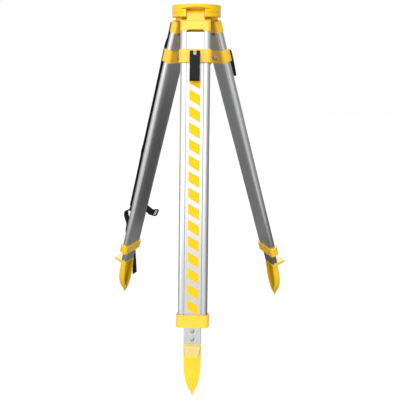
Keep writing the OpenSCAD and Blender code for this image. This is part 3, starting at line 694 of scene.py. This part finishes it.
@dataclass(frozen=True)
class Zinc(Finish):
    """Plate on fasteners, with faint mottling."""

    colour: Colour = (0.66, 0.67, 0.69)
    mottled: Colour = (0.52, 0.53, 0.55)
    roughness: float = 0.3
    bare: Colour = (0.82, 0.83, 0.84)

    def shader(self, w: Wiring, where: Socket) -> Inputs:
        """Adds the mottling and bare edges."""
        edges = w.effect(Effect.ROUNDED_EDGES, where, Radius=0.4 * MM, Amount=0.8)
        skin = w.effect(Effect.FINE_TEXTURE, where, Scale=1600.0)
        mottle = w.span(w.noise(where, 420.0, 4.0, 0.7), 0.35, 0.65)
        colour = w.layers(self.mottled, (mottle, self.colour), (edges["Mask"], self.bare))
        return {"Base Color": colour, "Metallic": 1.0,
                "Roughness": w.span(mottle, 0.0, 1.0, self.roughness + 0.1, self.roughness),
                "Normal": w.bump(skin["Height"], 0.02 * MM, edges["Normal"])}


@dataclass(frozen=True)
class Moulded(Finish):
    """Moulded plastic with a spark-eroded grain and polished edges."""

    colour: Colour = (0.009, 0.0095, 0.011)
    worn: Colour = (0.04, 0.04, 0.044)
    roughness: float = 0.46
    specular: float = 0.10
    grain: float = 0.06 * MM
    dusty: Colour = (0.20, 0.19, 0.17)

    def shader(self, w: Wiring, where: Socket) -> Inputs:
        """Adds the grain, worn edges and dust."""
        edges = w.effect(Effect.ROUNDED_EDGES, where, Radius=0.9 * MM, Amount=0.7)
        skin = w.effect(Effect.FINE_TEXTURE, where, Scale=1500.0)
        film = w.effect(Effect.DUST, where, Amount=0.08)["Mask"]
        gloss = w.span(skin["Tint"], 0.0, 1.0, self.roughness - 0.04, self.roughness + 0.06)
        return {"Base Color": w.layers(self.colour, (edges["Mask"], self.worn), (film, self.dusty)),
                "Roughness": w.math("SUBTRACT", gloss, w.times(edges["Mask"], 0.12)),
                "Normal": w.bump(skin["Height"], self.grain, edges["Normal"]),
                "Specular IOR Level": self.specular}


@dataclass(frozen=True)
class Marking(Finish):
    """The yellow of the slanting marks, printed on the inner legs, slightly rubbed."""

    colour: Colour = (0.97, 0.55, 0.006)
    deep: Colour = (0.94, 0.52, 0.005)
    rubbed: Colour = (0.93, 0.72, 0.25)

    def shader(self, w: Wiring, where: Socket) -> Inputs:
        """Adds the print and its rubbed patches."""
        skin = w.effect(Effect.FINE_TEXTURE, where, Scale=700.0)
        rubs = w.times(w.span(w.noise(where, 95.0, 6.0, 0.75), 0.66, 0.78), 0.5)
        return {"Base Color": w.layers(self.deep, (skin["Tint"], self.colour), (rubs, self.rubbed)),
                "Roughness": w.span(skin["Tint"], 0.0, 1.0, 0.32, 0.42),
                "Normal": w.bump(skin["Height"], 0.02 * MM, w.add("NewGeometry")["Normal"]),
                "Specular IOR Level": 0.15}


@dataclass(frozen=True)
class Webbing(Finish):
    """Black woven webbing, ribbed along its length, with its threads catching the light, shown as a
    painted glint of lighter threads in its colour.
    """

    colour: Colour = (0.006, 0.006, 0.007)
    # Colour of the painted glint on the threads.
    thread: Colour = (0.028, 0.028, 0.031)
    dusty: Colour = (0.11, 0.10, 0.09)

    def shader(self, w: Wiring, where: Socket) -> Inputs:
        """Adds the weave, its fuzz and dust."""
        woven = w.effect(Effect.WEAVE, w.add("TexCoord")["UV"])
        film = w.effect(Effect.DUST, where, Amount=0.10)["Mask"]
        fuzz = w.noise(where, 2600.0)
        height = w.math("ADD", woven["Height"], w.times(fuzz, 0.3))
        # The threads' lighter colour is a painted glint; the bump gives their shading under the lamps.
        return {"Base Color": w.layers(self.colour, (woven["Mask"], self.thread), (film, self.dusty)),
                "Roughness": w.span(fuzz, 0.3, 0.7, 0.6, 0.82),
                "Normal": w.bump(height, 0.22 * MM, w.add("NewGeometry")["Normal"]),
                "Sheen Weight": 0.03, "Sheen Roughness": 0.4, "Specular IOR Level": 0.12}


FINISHES: dict[str, Finish] = {
    "head": Enamel("head_enamel", (1.0, 0.655, 0.006), (0.98, 0.605, 0.004), machined=True),
    "castings": Enamel("casting_enamel", (1.0, 0.60, 0.004), (0.98, 0.55, 0.003), roughness=0.42,
                       specular=0.55, coat=0.7),
    # The feet: a painted highlight on their tops, partly scuffs, and painted shade in their hollows.
    "foot": Enamel("foot_enamel", (1.0, 0.66, 0.006), (0.98, 0.61, 0.004), roughness=0.42,
                   specular=0.6, coat=0.4, scuff_and_highlight=0.7, hollow_shade=0.75),
    "zinc": Zinc("zinc_plate"),
    "gold": Zinc("gold_passivated", (0.76, 0.56, 0.20), (0.62, 0.43, 0.12)),
    "steel": Zinc("dull_steel", (0.40, 0.40, 0.41), (0.28, 0.28, 0.29), roughness=0.42),
    "black": Moulded("black_moulding"),
    "nylon": Moulded("natural_nylon", (0.78, 0.77, 0.72), (0.84, 0.83, 0.79), roughness=0.42,
                     specular=0.5, grain=0.03 * MM),
    "marking": Marking("marking_yellow"),
    "webbing": Webbing("webbing_black"),
    "stitches": Moulded("stitching_thread", (0.020, 0.020, 0.022), (0.05, 0.05, 0.055),
                        roughness=0.6, specular=0.2, grain=0.1 * MM),
    **{f"rails_{leg.number}": Anodised(f"aluminium_leg_{leg.number}", leg) for leg in LEGS},
}

# Kinds of CAD nodes by finish. The rails and inner legs take their own leg's, the others zinc.
NODE_KINDS: dict[str, tuple[str, ...]] = {
    "head": ("head_casting",),
    "castings": ("leg_cap", "lower_guide", "clamp_collar", "clamp_plate", "centring_arm"),
    "foot": ("foot",),
    "black": ("clamp_lever", "screw_knob", "strap_buckle"),
    "nylon": ("friction_washers", "screw_sleeve"),
    "webbing": ("carry_strap", "closing_strap", "buckle_strap"),
    "steel": ("clamp_bolt", "lever_pin", "foot_rivets"),
    **{f"rails_{leg.number}": (f"side_rails_{leg.number}", f"inner_leg_{leg.number}") for leg in LEGS},
}


def dress_nodes(nodes: dict[str, Object], finishes: Finishes) -> None:
    """Gives each CAD node its finish.

    Args:
        nodes: The frame's nodes.
        finishes: The finishes.
    """
    for name, thing in nodes.items():
        kind = name[:-2] if name[-1].isdigit() else name
        key = next((key for key, kinds in NODE_KINDS.items() if {kind, name} & set(kinds)), "zinc")
        finish = finishes[key]
        if not thing.data.materials:
            thing.data.materials.append(finish)
        for slot in thing.material_slots:
            slot.material = finish
        LOG.info("node %s: %s", name, finish.name)


# Sub-assemblies


# Depths of the rows on the chamfered end of a hexagon.
CHAMFER_ROWS = np.array([0.0, 0.25, 0.5, 0.8, 1.1]) * MM
# A quarter turn that lays an upright axis across the leg, and how far out the hinge's ears end.
ACROSS = Matrix.Rotation(math.pi / 2, 4, "Y")
EAR_OUT = 32.0 * MM


class Part(ABC):
    """A sub-assembly that is modelled here."""

    @abstractmethod
    def build(self, finishes: Finishes) -> list[Object]:
        """Builds the sub-assembly.

        Args:
            finishes: The materials by finish.

        Returns:
            Its pieces, each riding its body.
        """


@dataclass
class InnerLegMarks(Part):
    """Slanting yellow marks on the front of one inner leg."""

    leg: LegFrame
    face: float = 11.2 * MM
    film: float = 0.12 * MM
    sink: float = 0.05 * MM
    half_width: float = 15.7 * MM
    first: float = 171.7 * MM
    pitch: float = 45.6 * MM
    height: float = 29.8 * MM
    slope: float = 0.58
    count: int = 15

    def build(self, finishes: Finishes) -> list[Object]:
        """Builds the marks.

        A mark is a slab: its upper edge lies at first + pitch * i + slope * across, for across
        within the half width, and its lower edge one height further down the leg.
        """
        surface = Surface()
        u = np.linspace(-1.0, 1.0, 5) * self.half_width
        for start in self.first + self.pitch * np.arange(self.count):
            upper, lower = start + self.slope * u, start + self.height + self.slope * u
            low, high = self.face - self.sink, self.face + self.film
            rows = [(upper, low), (upper, high), (lower, high), (lower, low)]
            ring = [self.leg.place(u, down, np.full_like(u, out)) for down, out in rows]
            surface.tube(np.stack(ring, axis=1), flip=True)
        piece = surface.piece(f"marks_{self.leg.number}", finishes["marking"], smooth=False)
        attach(piece, f"lower_leg_{self.leg.number}")
        return [piece]


@dataclass
class HingeBolts(Part):
    """The three hexagon bolts through the leg hinges, threaded at their nut ends."""

    corner: float = 7.52 * MM
    radius: float = 4.0 * MM
    head_height: float = 5.3 * MM
    end: float = 40.0 * MM
    thread_from: float = 31.0 * MM
    thread_start: float = 0.3 * MM
    pitch: float = 1.25 * MM
    blunt: float = 1.0 * MM
    around: int = 48

    def rings(self, leg: LegFrame) -> Array:
        """Returns the rings of one bolt, from its head to its threaded end.

        Rows of the chamfered hexagon are followed by two rows of the plain shank and by the
        rows of the thread, which narrows to a blunt end at 45 degrees.

        Args:
            leg: The leg whose hinge it holds.
        """
        top = -EAR_OUT - self.head_height
        depths = np.append(CHAMFER_ROWS, np.array([3.0, 4.4, 5.3]) * MM)
        head = chamfered(self.corner, depths, self.around)
        shank = np.full((2, self.around), self.radius)
        heights = np.linspace(self.thread_from, self.end, 72)
        thread = threaded(self.radius, self.pitch, heights, self.around)
        thread = np.minimum(thread, self.radius - self.blunt + (self.end - heights)[:, None])
        ends = [-EAR_OUT, self.thread_from - self.thread_start]
        levels = np.concatenate([top + depths, ends, heights])
        return turned(np.concatenate([head, shank, thread]), levels, leg.matrix() @ ACROSS)

    def build(self, finishes: Finishes) -> list[Object]:
        """Builds the bolts as one piece."""
        surface = Surface()
        for leg in LEGS:
            surface.tube(self.rings(leg), flip=True)
        piece = surface.piece("hinge_bolt_set", finishes["gold"])
        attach(piece, "head")
        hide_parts("hinge_bolts")
        return [piece]


@dataclass
class Nut:
    """A chamfered hexagon nut, with its washer if it has one."""

    axes: Matrix
    washer: float = 0.0
    washer_radius: float = 8.4 * MM
    washer_edge: float = 0.2 * MM
    corner: float = 7.52 * MM
    height: float = 6.5 * MM
    bore: float = 4.02 * MM
    bore_inset: float = 0.5 * MM
    around: int = 48

    def add(self, surface: Surface) -> None:
        """Adds the nut to a surface, as one closed ring of rows round its bore.

        Args:
            surface: The surface that takes it.
        """
        depth = np.concatenate([CHAMFER_ROWS, self.height - CHAMFER_ROWS[::-1]])
        sides = chamfered(self.corner, np.minimum(depth, self.height - depth), self.around)
        inset = self.bore_inset
        bore = np.array([inset, 0.0, 0.0, inset]) + self.bore
        bore_depth = np.array([self.height, self.height - inset, inset, 0.0])
        rows = np.concatenate([sides, np.repeat(bore[:, None], self.around, axis=1)])
        levels = self.washer + np.concatenate([depth, bore_depth])
        surface.grid(turned(rows, levels, self.axes), wrap=True, flip=True, loop=True)
        if self.washer:
            edge, rim = self.washer_edge, self.washer_radius
            radii = np.array([rim - edge, rim, rim, rim - edge, self.bore, self.bore])
            levels = np.array([0.0, edge, self.washer - edge, self.washer, self.washer, 0.0])
            surface.grid(lathed(radii, levels, self.axes, self.around), wrap=True, flip=True, loop=True)


@dataclass
class Nuts(Part):
    """The nuts of the hinges and of the three clamps."""

    face: float = 14.7 * MM
    middle: float = 117.5 * MM
    washer: float = 1.6 * MM

    def build(self, finishes: Finishes) -> list[Object]:
        """Builds one piece for the hinges and one for each clamp."""
        surface = Surface()
        for leg in LEGS:
            Nut(leg.matrix() @ Matrix.Translation((EAR_OUT, 0.0, 0.0)) @ ACROSS).add(surface)
        piece = surface.piece("hinge_nut_set", finishes["gold"])
        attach(piece, "head")
        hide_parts("hinge_nuts")
        return [piece] + [self.clamp_nut(leg, finishes) for leg in LEGS]

    def clamp_nut(self, leg: LegFrame, finishes: Finishes) -> Object:
        """Builds the nut and washer in the recess of one clamp collar.

        Args:
            leg: The clamp's leg.
            finishes: The finishes.
        """
        surface = Surface()
        shift = Matrix.Translation((0.0, self.face, -self.middle))
        axes = leg.matrix() @ shift @ Matrix.Rotation(-math.pi / 2, 4, "X")
        Nut(axes, washer=self.washer).add(surface)
        piece = surface.piece(f"clamp_nut_detail_{leg.number}", finishes["zinc"])
        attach(piece, f"lower_leg_{leg.number}")
        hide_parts(f"clamp_nut_{leg.number}")
        return piece


@dataclass
class CentringScrew(Part):
    """The 5/8 inch instrument screw, with its helical thread and its plumb hook."""

    major: float = 7.94 * MM
    core: float = 6.64 * MM
    pitch: float = 25.4 / 11 * MM
    top: float = 1.0 * MM
    thread_end: float = 8.25 * MM
    chamfer: float = 1.6 * MM
    root: float = 0.2 * MM
    step: float = 0.8 * MM
    shoulder: float = 2.0 * MM
    bottom: float = 55.8 * MM
    hook_drop: float = 60.2 * MM
    hook_radius: float = 4.0 * MM
    hook_wire: float = 1.0 * MM
    around: int = 64

    def build(self, finishes: Finishes) -> list[Object]:
        """Builds the screw and the ring of its hook.

        The thread's rows are narrowed at the top by a 45 degree chamfer and run out to the
        core below. The ring is a torus: (R + r cos v) along the circle, r sin v out of it.
        """
        depths = np.linspace(self.top, self.thread_end, 90)
        thread = threaded(self.major, self.pitch, depths, self.around)
        thread = np.minimum(thread, self.major - self.chamfer + (depths - self.top)[:, None])
        thread = np.maximum(thread, self.core - self.root)
        plain = np.full((4, self.around), self.core)
        plain[-1] -= self.step
        levels = np.append(depths, [self.thread_end + self.step, self.thread_end + self.shoulder,
                                    self.bottom - self.step, self.bottom])
        surface = Surface()
        surface.tube(turned(np.concatenate([thread, plain]), -levels, Matrix.Identity(4)))
        u, v = np.meshgrid(turn_angles(40), turn_angles(14), indexing="ij")
        reach = self.hook_radius + self.hook_wire * np.cos(v)
        ring = [reach * np.cos(u), self.hook_wire * np.sin(v), reach * np.sin(u) - self.hook_drop]
        surface.grid(np.stack(ring, axis=-1), wrap=True, loop=True, flip=True)
        piece = surface.piece("instrument_screw", finishes["zinc"])
        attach(piece, "centring_screw")
        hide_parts("centring_screw")
        return [piece]


STRAP_LEG = LEGS[1]
PATH_STEP = 2.5 * MM


def route_path(route: Sequence[Triple]) -> Array:
    """Returns a route's smooth middle line, from (across, down, out) points in millimetres."""
    return smooth_path(STRAP_LEG.place(*(np.array(route).T * MM)), PATH_STEP)


@dataclass
class Strap(Part):
    """One piece of flat webbing along a route on the second leg."""

    name: str
    route: Sequence[Triple]
    nodes: Sequence[str]
    hem: float = 0.0
    hem_gap: float = 0.1 * MM
    width: float = 25.0 * MM
    thickness: float = 1.5 * MM
    stitch_rows: tuple[float, ...] = (3.0 * MM, 7.0 * MM)
    stitch_radius: float = 0.4 * MM
    stitch_half: float = 1.2 * MM
    stitch_sink: float = 0.05 * MM

    def across(self, path: Array) -> Array:
        """Returns unit vectors across the webbing, in the leg's own plane and square to its line."""
        return unit(np.cross(unit(np.gradient(path, axis=0)), STRAP_LEG.outwards()))

    def fold(self, path: Array, across: Array) -> Array:
        """Returns the middle line of the folded end.

        From the strap's last point it makes half a turn about the gap's middle and runs back
        for the hem's length: (sin v, 1 - cos v) * radius for v in (0, pi), then straight.

        Args:
            path: The strap's middle line.
            across: Its across vectors.
        """
        along = unit(path[-1] - path[-4])
        through = unit(np.cross(across[-1], along))
        radius = (self.thickness + self.hem_gap) / 2
        turn = np.linspace(0.0, math.pi, 9)[:, None]
        bend = path[-1] + radius * (np.sin(turn) * along + (1.0 - np.cos(turn)) * through)
        back = np.linspace(PATH_STEP, self.hem, 8)[:, None]
        return np.vstack([bend, bend[-1] - back * along])

    def stitches(self, surface: Surface, path: Array, across: Array) -> None:
        """Adds two rows of stitches over the folded end.

        A stitch is a small spindle: at x of its half length, its radius is the thickest one
        times sqrt(1 - x^2).

        Args:
            surface: The surface that takes them.
            path: The middle line of the fold.
            across: The unit vector across the webbing.
        """
        along = unit(path[-1] - path[-2])
        out = unit(np.cross(along, across))
        x = np.linspace(-0.96, 0.96, 6)
        radius = self.stitch_radius * np.sqrt(1.0 - x**2)
        angle = turn_angles(8)[None, :, None]
        section = (np.cos(angle) * along + np.sin(angle) * out) * radius[:, None, None]
        lift = out * (self.thickness / 2 - self.stitch_sink)
        for back in self.stitch_rows:
            for side in np.linspace(-0.43, 0.43, 8) * self.width:
                middle = path[-1] - along * back + across * side + lift
                spine = middle + x[:, None] * self.stitch_half * across
                surface.tube(spine[:, None, :] + section)

    def build(self, finishes: Finishes) -> list[Object]:
        """Builds the webbing, with its end folded and stitched if it has a hem."""
        path = route_path(self.route)
        across = self.across(path)
        rings, uv = swept(path, across, self.width, self.thickness)
        surface = Surface()
        surface.tube(rings, uv)
        pieces = []
        if self.hem:
            fold = self.fold(path, across)
            turned_back = np.repeat(across[-1:], len(fold), axis=0)
            surface.tube(*swept(fold, turned_back, self.width, self.thickness))
            thread = Surface()
            self.stitches(thread, fold, across[-1])
            pieces.append(thread.piece(self.name + "_stitches", finishes["stitches"]))
        pieces.append(surface.piece(self.name, finishes["webbing"]))
        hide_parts(*self.nodes)
        for piece in pieces:
            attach(piece, "upper_leg_2")
        LOG.info("%s is %.0f mm long, %.0f mm folded", self.name, uv[-1, 0, 1] / MM, self.hem / MM)
        return pieces


def at(across: float, *points: tuple[float, float]) -> tuple[Triple, ...]:
    """Returns route points at one distance across, from their (down, out)."""
    return tuple((across, down, out) for down, out in points)


# Routes as (across, down the leg, out from its middle), in millimetres.
OUT_FACE, OUT_CAP, OUT_COLLAR, OUT_GUIDE = 12.6, 13.6, 17.3, 17.6
STRAP_MID, CARRY_MID = 27.5, 26.6
CARRY_ROUTE = (
    *at(STRAP_MID, (24, OUT_CAP), (44, OUT_CAP)),
    *at(CARRY_MID, (66, OUT_CAP + 0.8), (84, OUT_COLLAR), (98, OUT_COLLAR + 0.6),
        (118, OUT_COLLAR + 0.8), (140, OUT_COLLAR + 0.4), (180, OUT_COLLAR), (300, OUT_COLLAR),
        (420, OUT_COLLAR + 0.8), (445, OUT_COLLAR + 2.4), (470, OUT_COLLAR + 0.8),
        (560, OUT_COLLAR), (662, OUT_COLLAR), (668, OUT_COLLAR - 1.6)),
    *at(STRAP_MID, (675, OUT_FACE + 0.6), (680, OUT_FACE), (694, OUT_FACE)))
CLOSING_ROUTE = (
    *at(STRAP_MID, (676, OUT_FACE + 2), (689, OUT_FACE + 2), (694, 18), (698, 26), (704, 32),
        (713, 34.5), (724, 32), (735, 25.5), (744, 18.5), (753, OUT_FACE + 1.2), (764, OUT_FACE)),
    (26, 780, OUT_FACE), (20, 794, OUT_FACE), (8, 808, OUT_FACE), (-8, 822, OUT_FACE + 1.4),
    (-22, 834, OUT_GUIDE - 1), (-32, 846, OUT_GUIDE), (-38, 858, OUT_GUIDE),
    *at(-40, (872, OUT_GUIDE), (884, OUT_GUIDE), (900, OUT_GUIDE - 4.6), (938, OUT_GUIDE - 17),
        (976, OUT_GUIDE - 29.3), (1016, OUT_GUIDE - 42.3)))
BUCKLE_ROUTE = (
    (-17, 698, OUT_FACE), (-28, 699, OUT_FACE), (-38, 701, OUT_FACE - 0.2), (-44, 703, 11),
    (-49, 706, 6.5), (-54, 711, 1), (-62, 718, -5), (-71, 726, -9.5), (-80, 732, -12.5),
    (-88, 735, -14))


@dataclass
class Buckle(Part):
    """The sliding buckle: a rounded frame with three bars, on the end of the short strap."""

    length: float = 28.0 * MM
    width: float = 31.0 * MM
    rim: float = 2.1 * MM
    depth: float = 2.5 * MM
    bars: tuple[float, ...] = (0.0, 10.0 * MM, 18.5 * MM)
    bar_radius: float = 1.7 * MM
    drop: float = 2.35 * MM

    def axes(self) -> Matrix:
        """Returns its frame: first axis on along the strap, second across, at the strap's fold."""
        path = route_path(BUCKLE_ROUTE)
        along = Vector(unit(path[-1] - path[-4]))
        across = Vector(unit(np.cross(np.array(along), STRAP_LEG.outwards())))
        through = along.cross(across)
        full = Matrix((along, across, through)).transposed().to_4x4()
        full.translation = Vector(path[-1]) - through * self.drop
        return full

    def frame_ring(self) -> Array:
        """Returns the frame as a grid closed both ways.

        Its line is the rounded box |x / a|^n + |y / b|^n = 1 with n = 5, at angles of one turn,
        and its section an ellipse of the rim's and the depth's half sizes.
        """
        u, v = np.meshgrid(turn_angles(96), turn_angles(16), indexing="ij")
        a, b = self.length / 2 - self.rim, self.width / 2 - self.rim
        scale = (np.abs(np.cos(u) / a)**5 + np.abs(np.sin(u) / b)**5) ** -0.2
        reach = scale + self.rim * np.cos(v)
        x = reach * np.cos(u) + self.length / 2 - self.rim
        return np.stack([x, reach * np.sin(u), self.depth * np.sin(v)], axis=-1)

    def build(self, finishes: Finishes) -> list[Object]:
        """Builds the frame and its bars."""
        axes = self.axes()
        surface = Surface()
        surface.grid(placed(self.frame_ring(), axes), wrap=True, loop=True)
        half = self.width / 2 - self.rim
        rows = np.linspace(-half, half, 7)
        for x in self.bars:
            turn = axes @ Matrix.Translation((x, 0.0, 0.0)) @ Matrix.Rotation(-math.pi / 2, 4, "X")
            surface.tube(lathed(np.full(7, self.bar_radius), rows, turn, 20), flip=True)
        piece = surface.piece("buckle_frame", finishes["black"])
        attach(piece, "upper_leg_2")
        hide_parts("strap_buckle")
        return [piece]


PARTS: tuple[Part, ...] = (
    *(InnerLegMarks(leg) for leg in LEGS),
    HingeBolts(),
    Nuts(),
    CentringScrew(),
    Strap("carry_webbing", CARRY_ROUTE, ["carry_strap"]),
    Strap("closing_webbing", CLOSING_ROUTE, ["closing_strap"], hem=20.0 * MM),
    Strap("buckle_webbing", BUCKLE_ROUTE, ["buckle_strap"], hem=24.0 * MM, hem_gap=3.2 * MM),
    Buckle(),
)


# Studio

WHITE = (1.0, 1.0, 1.0)
FLOOR_GAP = 0.3 * MM


def aimed(name: str, data: bpy.types.ID, place: Triple, aim: Vector) -> Object:
    """Puts a lamp or a camera in the scene.

    Args:
        name: The object's name.
        data: The lamp or camera.
        place: Where it stands.
        aim: The direction that it faces.

    Returns:
        The object.
    """
    thing = bpy.data.objects.new(name, data)
    thing.location = place
    thing.rotation_euler = aim.to_track_quat("-Z", "Y").to_euler()
    bpy.context.scene.collection.objects.link(thing)
    return thing


@dataclass(frozen=True)
class Lamp:
    """A soft box: where it stands, what it faces, its size, its power and if glossy rays see it."""

    name: str
    place: Triple
    target: Triple
    size: tuple[float, float]
    power: float
    mirrored: bool = True

    def build(self) -> Object:
        """Returns the lamp, aimed at its target."""
        light = bpy.data.lights.new(self.name, "AREA")
        light.shape, light.size, light.size_y, light.energy = "RECTANGLE", *self.size, self.power
        thing = aimed(self.name, light, self.place, Vector(self.target) - Vector(self.place))
        thing.visible_camera = False
        thing.visible_glossy = self.mirrored
        return thing


@dataclass(frozen=True)
class Card:
    """A grey card just over the floor that only glossy surfaces see, as a photographer's flag."""

    name: str
    corner: Triple
    first: Triple
    second: Triple
    grey: float

    def build(self, height: float) -> Object:
        """Returns the card, with its corner raised by the given height.

        Its points are corner + i * first + j * second for i and j of 0 and 1.

        Args:
            height: How far the card is raised.

        Returns:
            The card.
        """
        material, w = new_material(self.name)
        glow = w.add("Emission", {"Color": WHITE, "Strength": self.grey})
        w.add("OutputMaterial", {"Surface": glow[0]})
        i, j = np.meshgrid(np.arange(2.0), np.arange(2.0), indexing="ij")
        corner = np.array(self.corner) + np.array([0.0, 0.0, height])
        sides = i[..., None] * np.array(self.first) + j[..., None] * np.array(self.second)
        surface = Surface()
        surface.grid(corner + sides)
        thing = surface.piece(self.name, material, smooth=False)
        thing.visible_camera = thing.visible_diffuse = thing.visible_shadow = False
        thing.visible_transmission = thing.visible_volume_scatter = False
        thing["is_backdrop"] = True
        return thing


@dataclass
class Studio:
    """Floor, world, lamps and camera, as in the photograph."""

    floor_z: float
    lens: float = 37.95
    camera_place: Triple = (0.0591, -1.3242, -0.0941)
    yaw: float = -0.0371
    pitch: float = math.radians(20.70)
    floor_far: float = 0.91
    pool: float = 2.8
    pool_level: float = 0.26
    floor_half: float = 12.0
    card_lift: float = 4.0 * MM
    world_level: float = 0.22
    lamps: tuple[Lamp, ...] = (
        Lamp("front_box", (-0.6, -2.5, 1.1), (0.0, 0.0, -0.45), (3.6, 2.4), 41.0),
        Lamp("left_box", (-2.0, -1.9, 0.0), (0.0, 0.0, -0.55), (1.0, 1.4), 15.0),
        Lamp("top_box", (-0.2, -1.3, 2.0), (0.0, 0.0, -0.4), (1.4, 1.2), 18.0),
        Lamp("low_box", (0.0, -2.4, -0.45), (0.0, 0.0, -0.7), (4.0, 1.2), 24.0, mirrored=False),
        Lamp("foot_box", (1.0, -0.65, -0.55), (0.33, 0.19, -0.95), (0.5, 0.5), 3.2, mirrored=False),
        Lamp("back_box", (0.3, 2.4, 1.7), (0.0, 0.0, -0.6), (3.2, 2.0), 62.0),
    )
    cards: tuple[Card, ...] = (
        Card("card_right", (0.02, -0.2, 0.0), (4.6, 0.0, 0.0), (0.0, 5.2, 0.0), 0.06),
        Card("card_left", (-4.6, -0.2, 0.0), (4.6, 0.0, 0.0), (0.0, 5.2, 0.0), 0.22),
        Card("card_back", (-4.6, 5.0, 0.0), (9.2, 0.0, 0.0), (0.0, 0.0, 0.8), 0.10),
        Card("card_side", (1.9, -1.8, 0.0), (0.0, 5.0, 0.0), (0.0, 0.0, 1.6), 0.40),
        Card("card_front", (0.4, -1.6, 0.0), (1.5, 0.0, 0.0), (0.0, 1.4, 0.0), 0.40),
    )

    def build(self) -> None:
        """Builds the studio."""
        self.world()
        self.floor()
        for lamp in self.lamps:
            lamp.build()
        for card in self.cards:
            card.build(self.floor_z + self.card_lift)
        self.camera()
        bpy.context.scene.view_settings.view_transform = "Standard"

    def seen(self, w: Wiring) -> Socket:
        """Returns 1 on camera, glossy and transmission rays, and 0 on the others."""
        path = w.add("LightPath")
        both = w.math("MAXIMUM", path["Is Camera Ray"], path["Is Glossy Ray"])
        return w.math("MAXIMUM", both, path["Is Transmission Ray"])

    def world(self) -> None:
        """Makes the world: white where it is seen, a low even light elsewhere."""
        world = bpy.data.worlds.new("studio")
        world.use_nodes = True
        w = Wiring(world.node_tree)
        strength = w.span(self.seen(w), 0.0, 1.0, self.world_level, 1.0)
        back = w.add("Background", {"Color": WHITE, "Strength": strength})
        w.add("OutputWorld", {"Surface": back[0]})
        bpy.context.scene.world = world

    def floor(self) -> None:
        """Makes the floor: a wide plane that keeps the shadow, clear from below.

        With d the distance from the axis over the pool's radius, its glow is floor_far less
        pool_level * (d^2 + 1)^-1.5, so that it darkens a little under the tripod.
        """
        material, w = new_material("studio_floor")
        matte = w.add("BsdfDiffuse", {"Color": (0.42, 0.42, 0.42)})
        where = w.vector("MULTIPLY", w.add("TexCoord")["Object"], (1.0, 1.0, 0.0))[0]
        away = w.math("DIVIDE", w.vector("LENGTH", where)["Value"], self.pool)
        spread = w.math("ADD", w.math("POWER", away, 2.0), 1.0)
        shade = w.times(self.pool_level, w.math("POWER", spread, -1.5))
        level = w.times(self.seen(w), w.math("SUBTRACT", self.floor_far, shade))
        glow = w.add("Emission", {"Color": WHITE, "Strength": level})
        both = w.add("AddShader", {0: matte[0], 1: glow[0]})
        under = w.times(w.add("NewGeometry")["Backfacing"], w.add("LightPath")["Is Camera Ray"])
        clear = w.add("BsdfTransparent")
        mixed = w.add("MixShader", {0: under, 1: both[0], 2: clear[0]})
        w.add("OutputMaterial", {"Surface": mixed[0]})
        edge = np.linspace(-self.floor_half, self.floor_half, 3)
        x, y = np.meshgrid(edge, edge, indexing="ij")
        surface = Surface()
        surface.grid(np.stack([x, y, np.full_like(x, self.floor_z)], axis=-1))
        surface.piece("floor", material, smooth=False)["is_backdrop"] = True

    def camera(self) -> None:
        """Makes the camera at the photograph's angle."""
        data = bpy.data.cameras.new("camera")
        data.lens, data.sensor_width, data.sensor_fit = self.lens, 36.0, "HORIZONTAL"
        data.clip_start, data.clip_end = 0.02, 100.0
        level = math.cos(self.pitch)
        side, ahead = math.sin(self.yaw) * level, math.cos(self.yaw) * level
        aim = Vector((side, ahead, -math.sin(self.pitch)))
        bpy.context.scene.camera = aimed("camera", data, self.camera_place, aim)


def corners(bounds: Sequence[Sequence[float]]) -> list[list[float]]:
    """Returns a box's two corners as plain lists."""
    return [[float(v) for v in corner] for corner in bounds]


def main() -> None:
    """Builds the tripod's looks in order."""
    logging.basicConfig(level=logging.INFO, format="%(name)s %(message)s")
    cad_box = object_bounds()
    finishes = {key: finish.build() for key, finish in FINISHES.items()}
    dress_nodes(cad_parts, finishes)
    for part in PARTS:
        part.build(finishes)
    Studio(floor_z=float(cad_box[0][2]) - FLOOR_GAP).build()


if __name__ == "__main__":
    main()
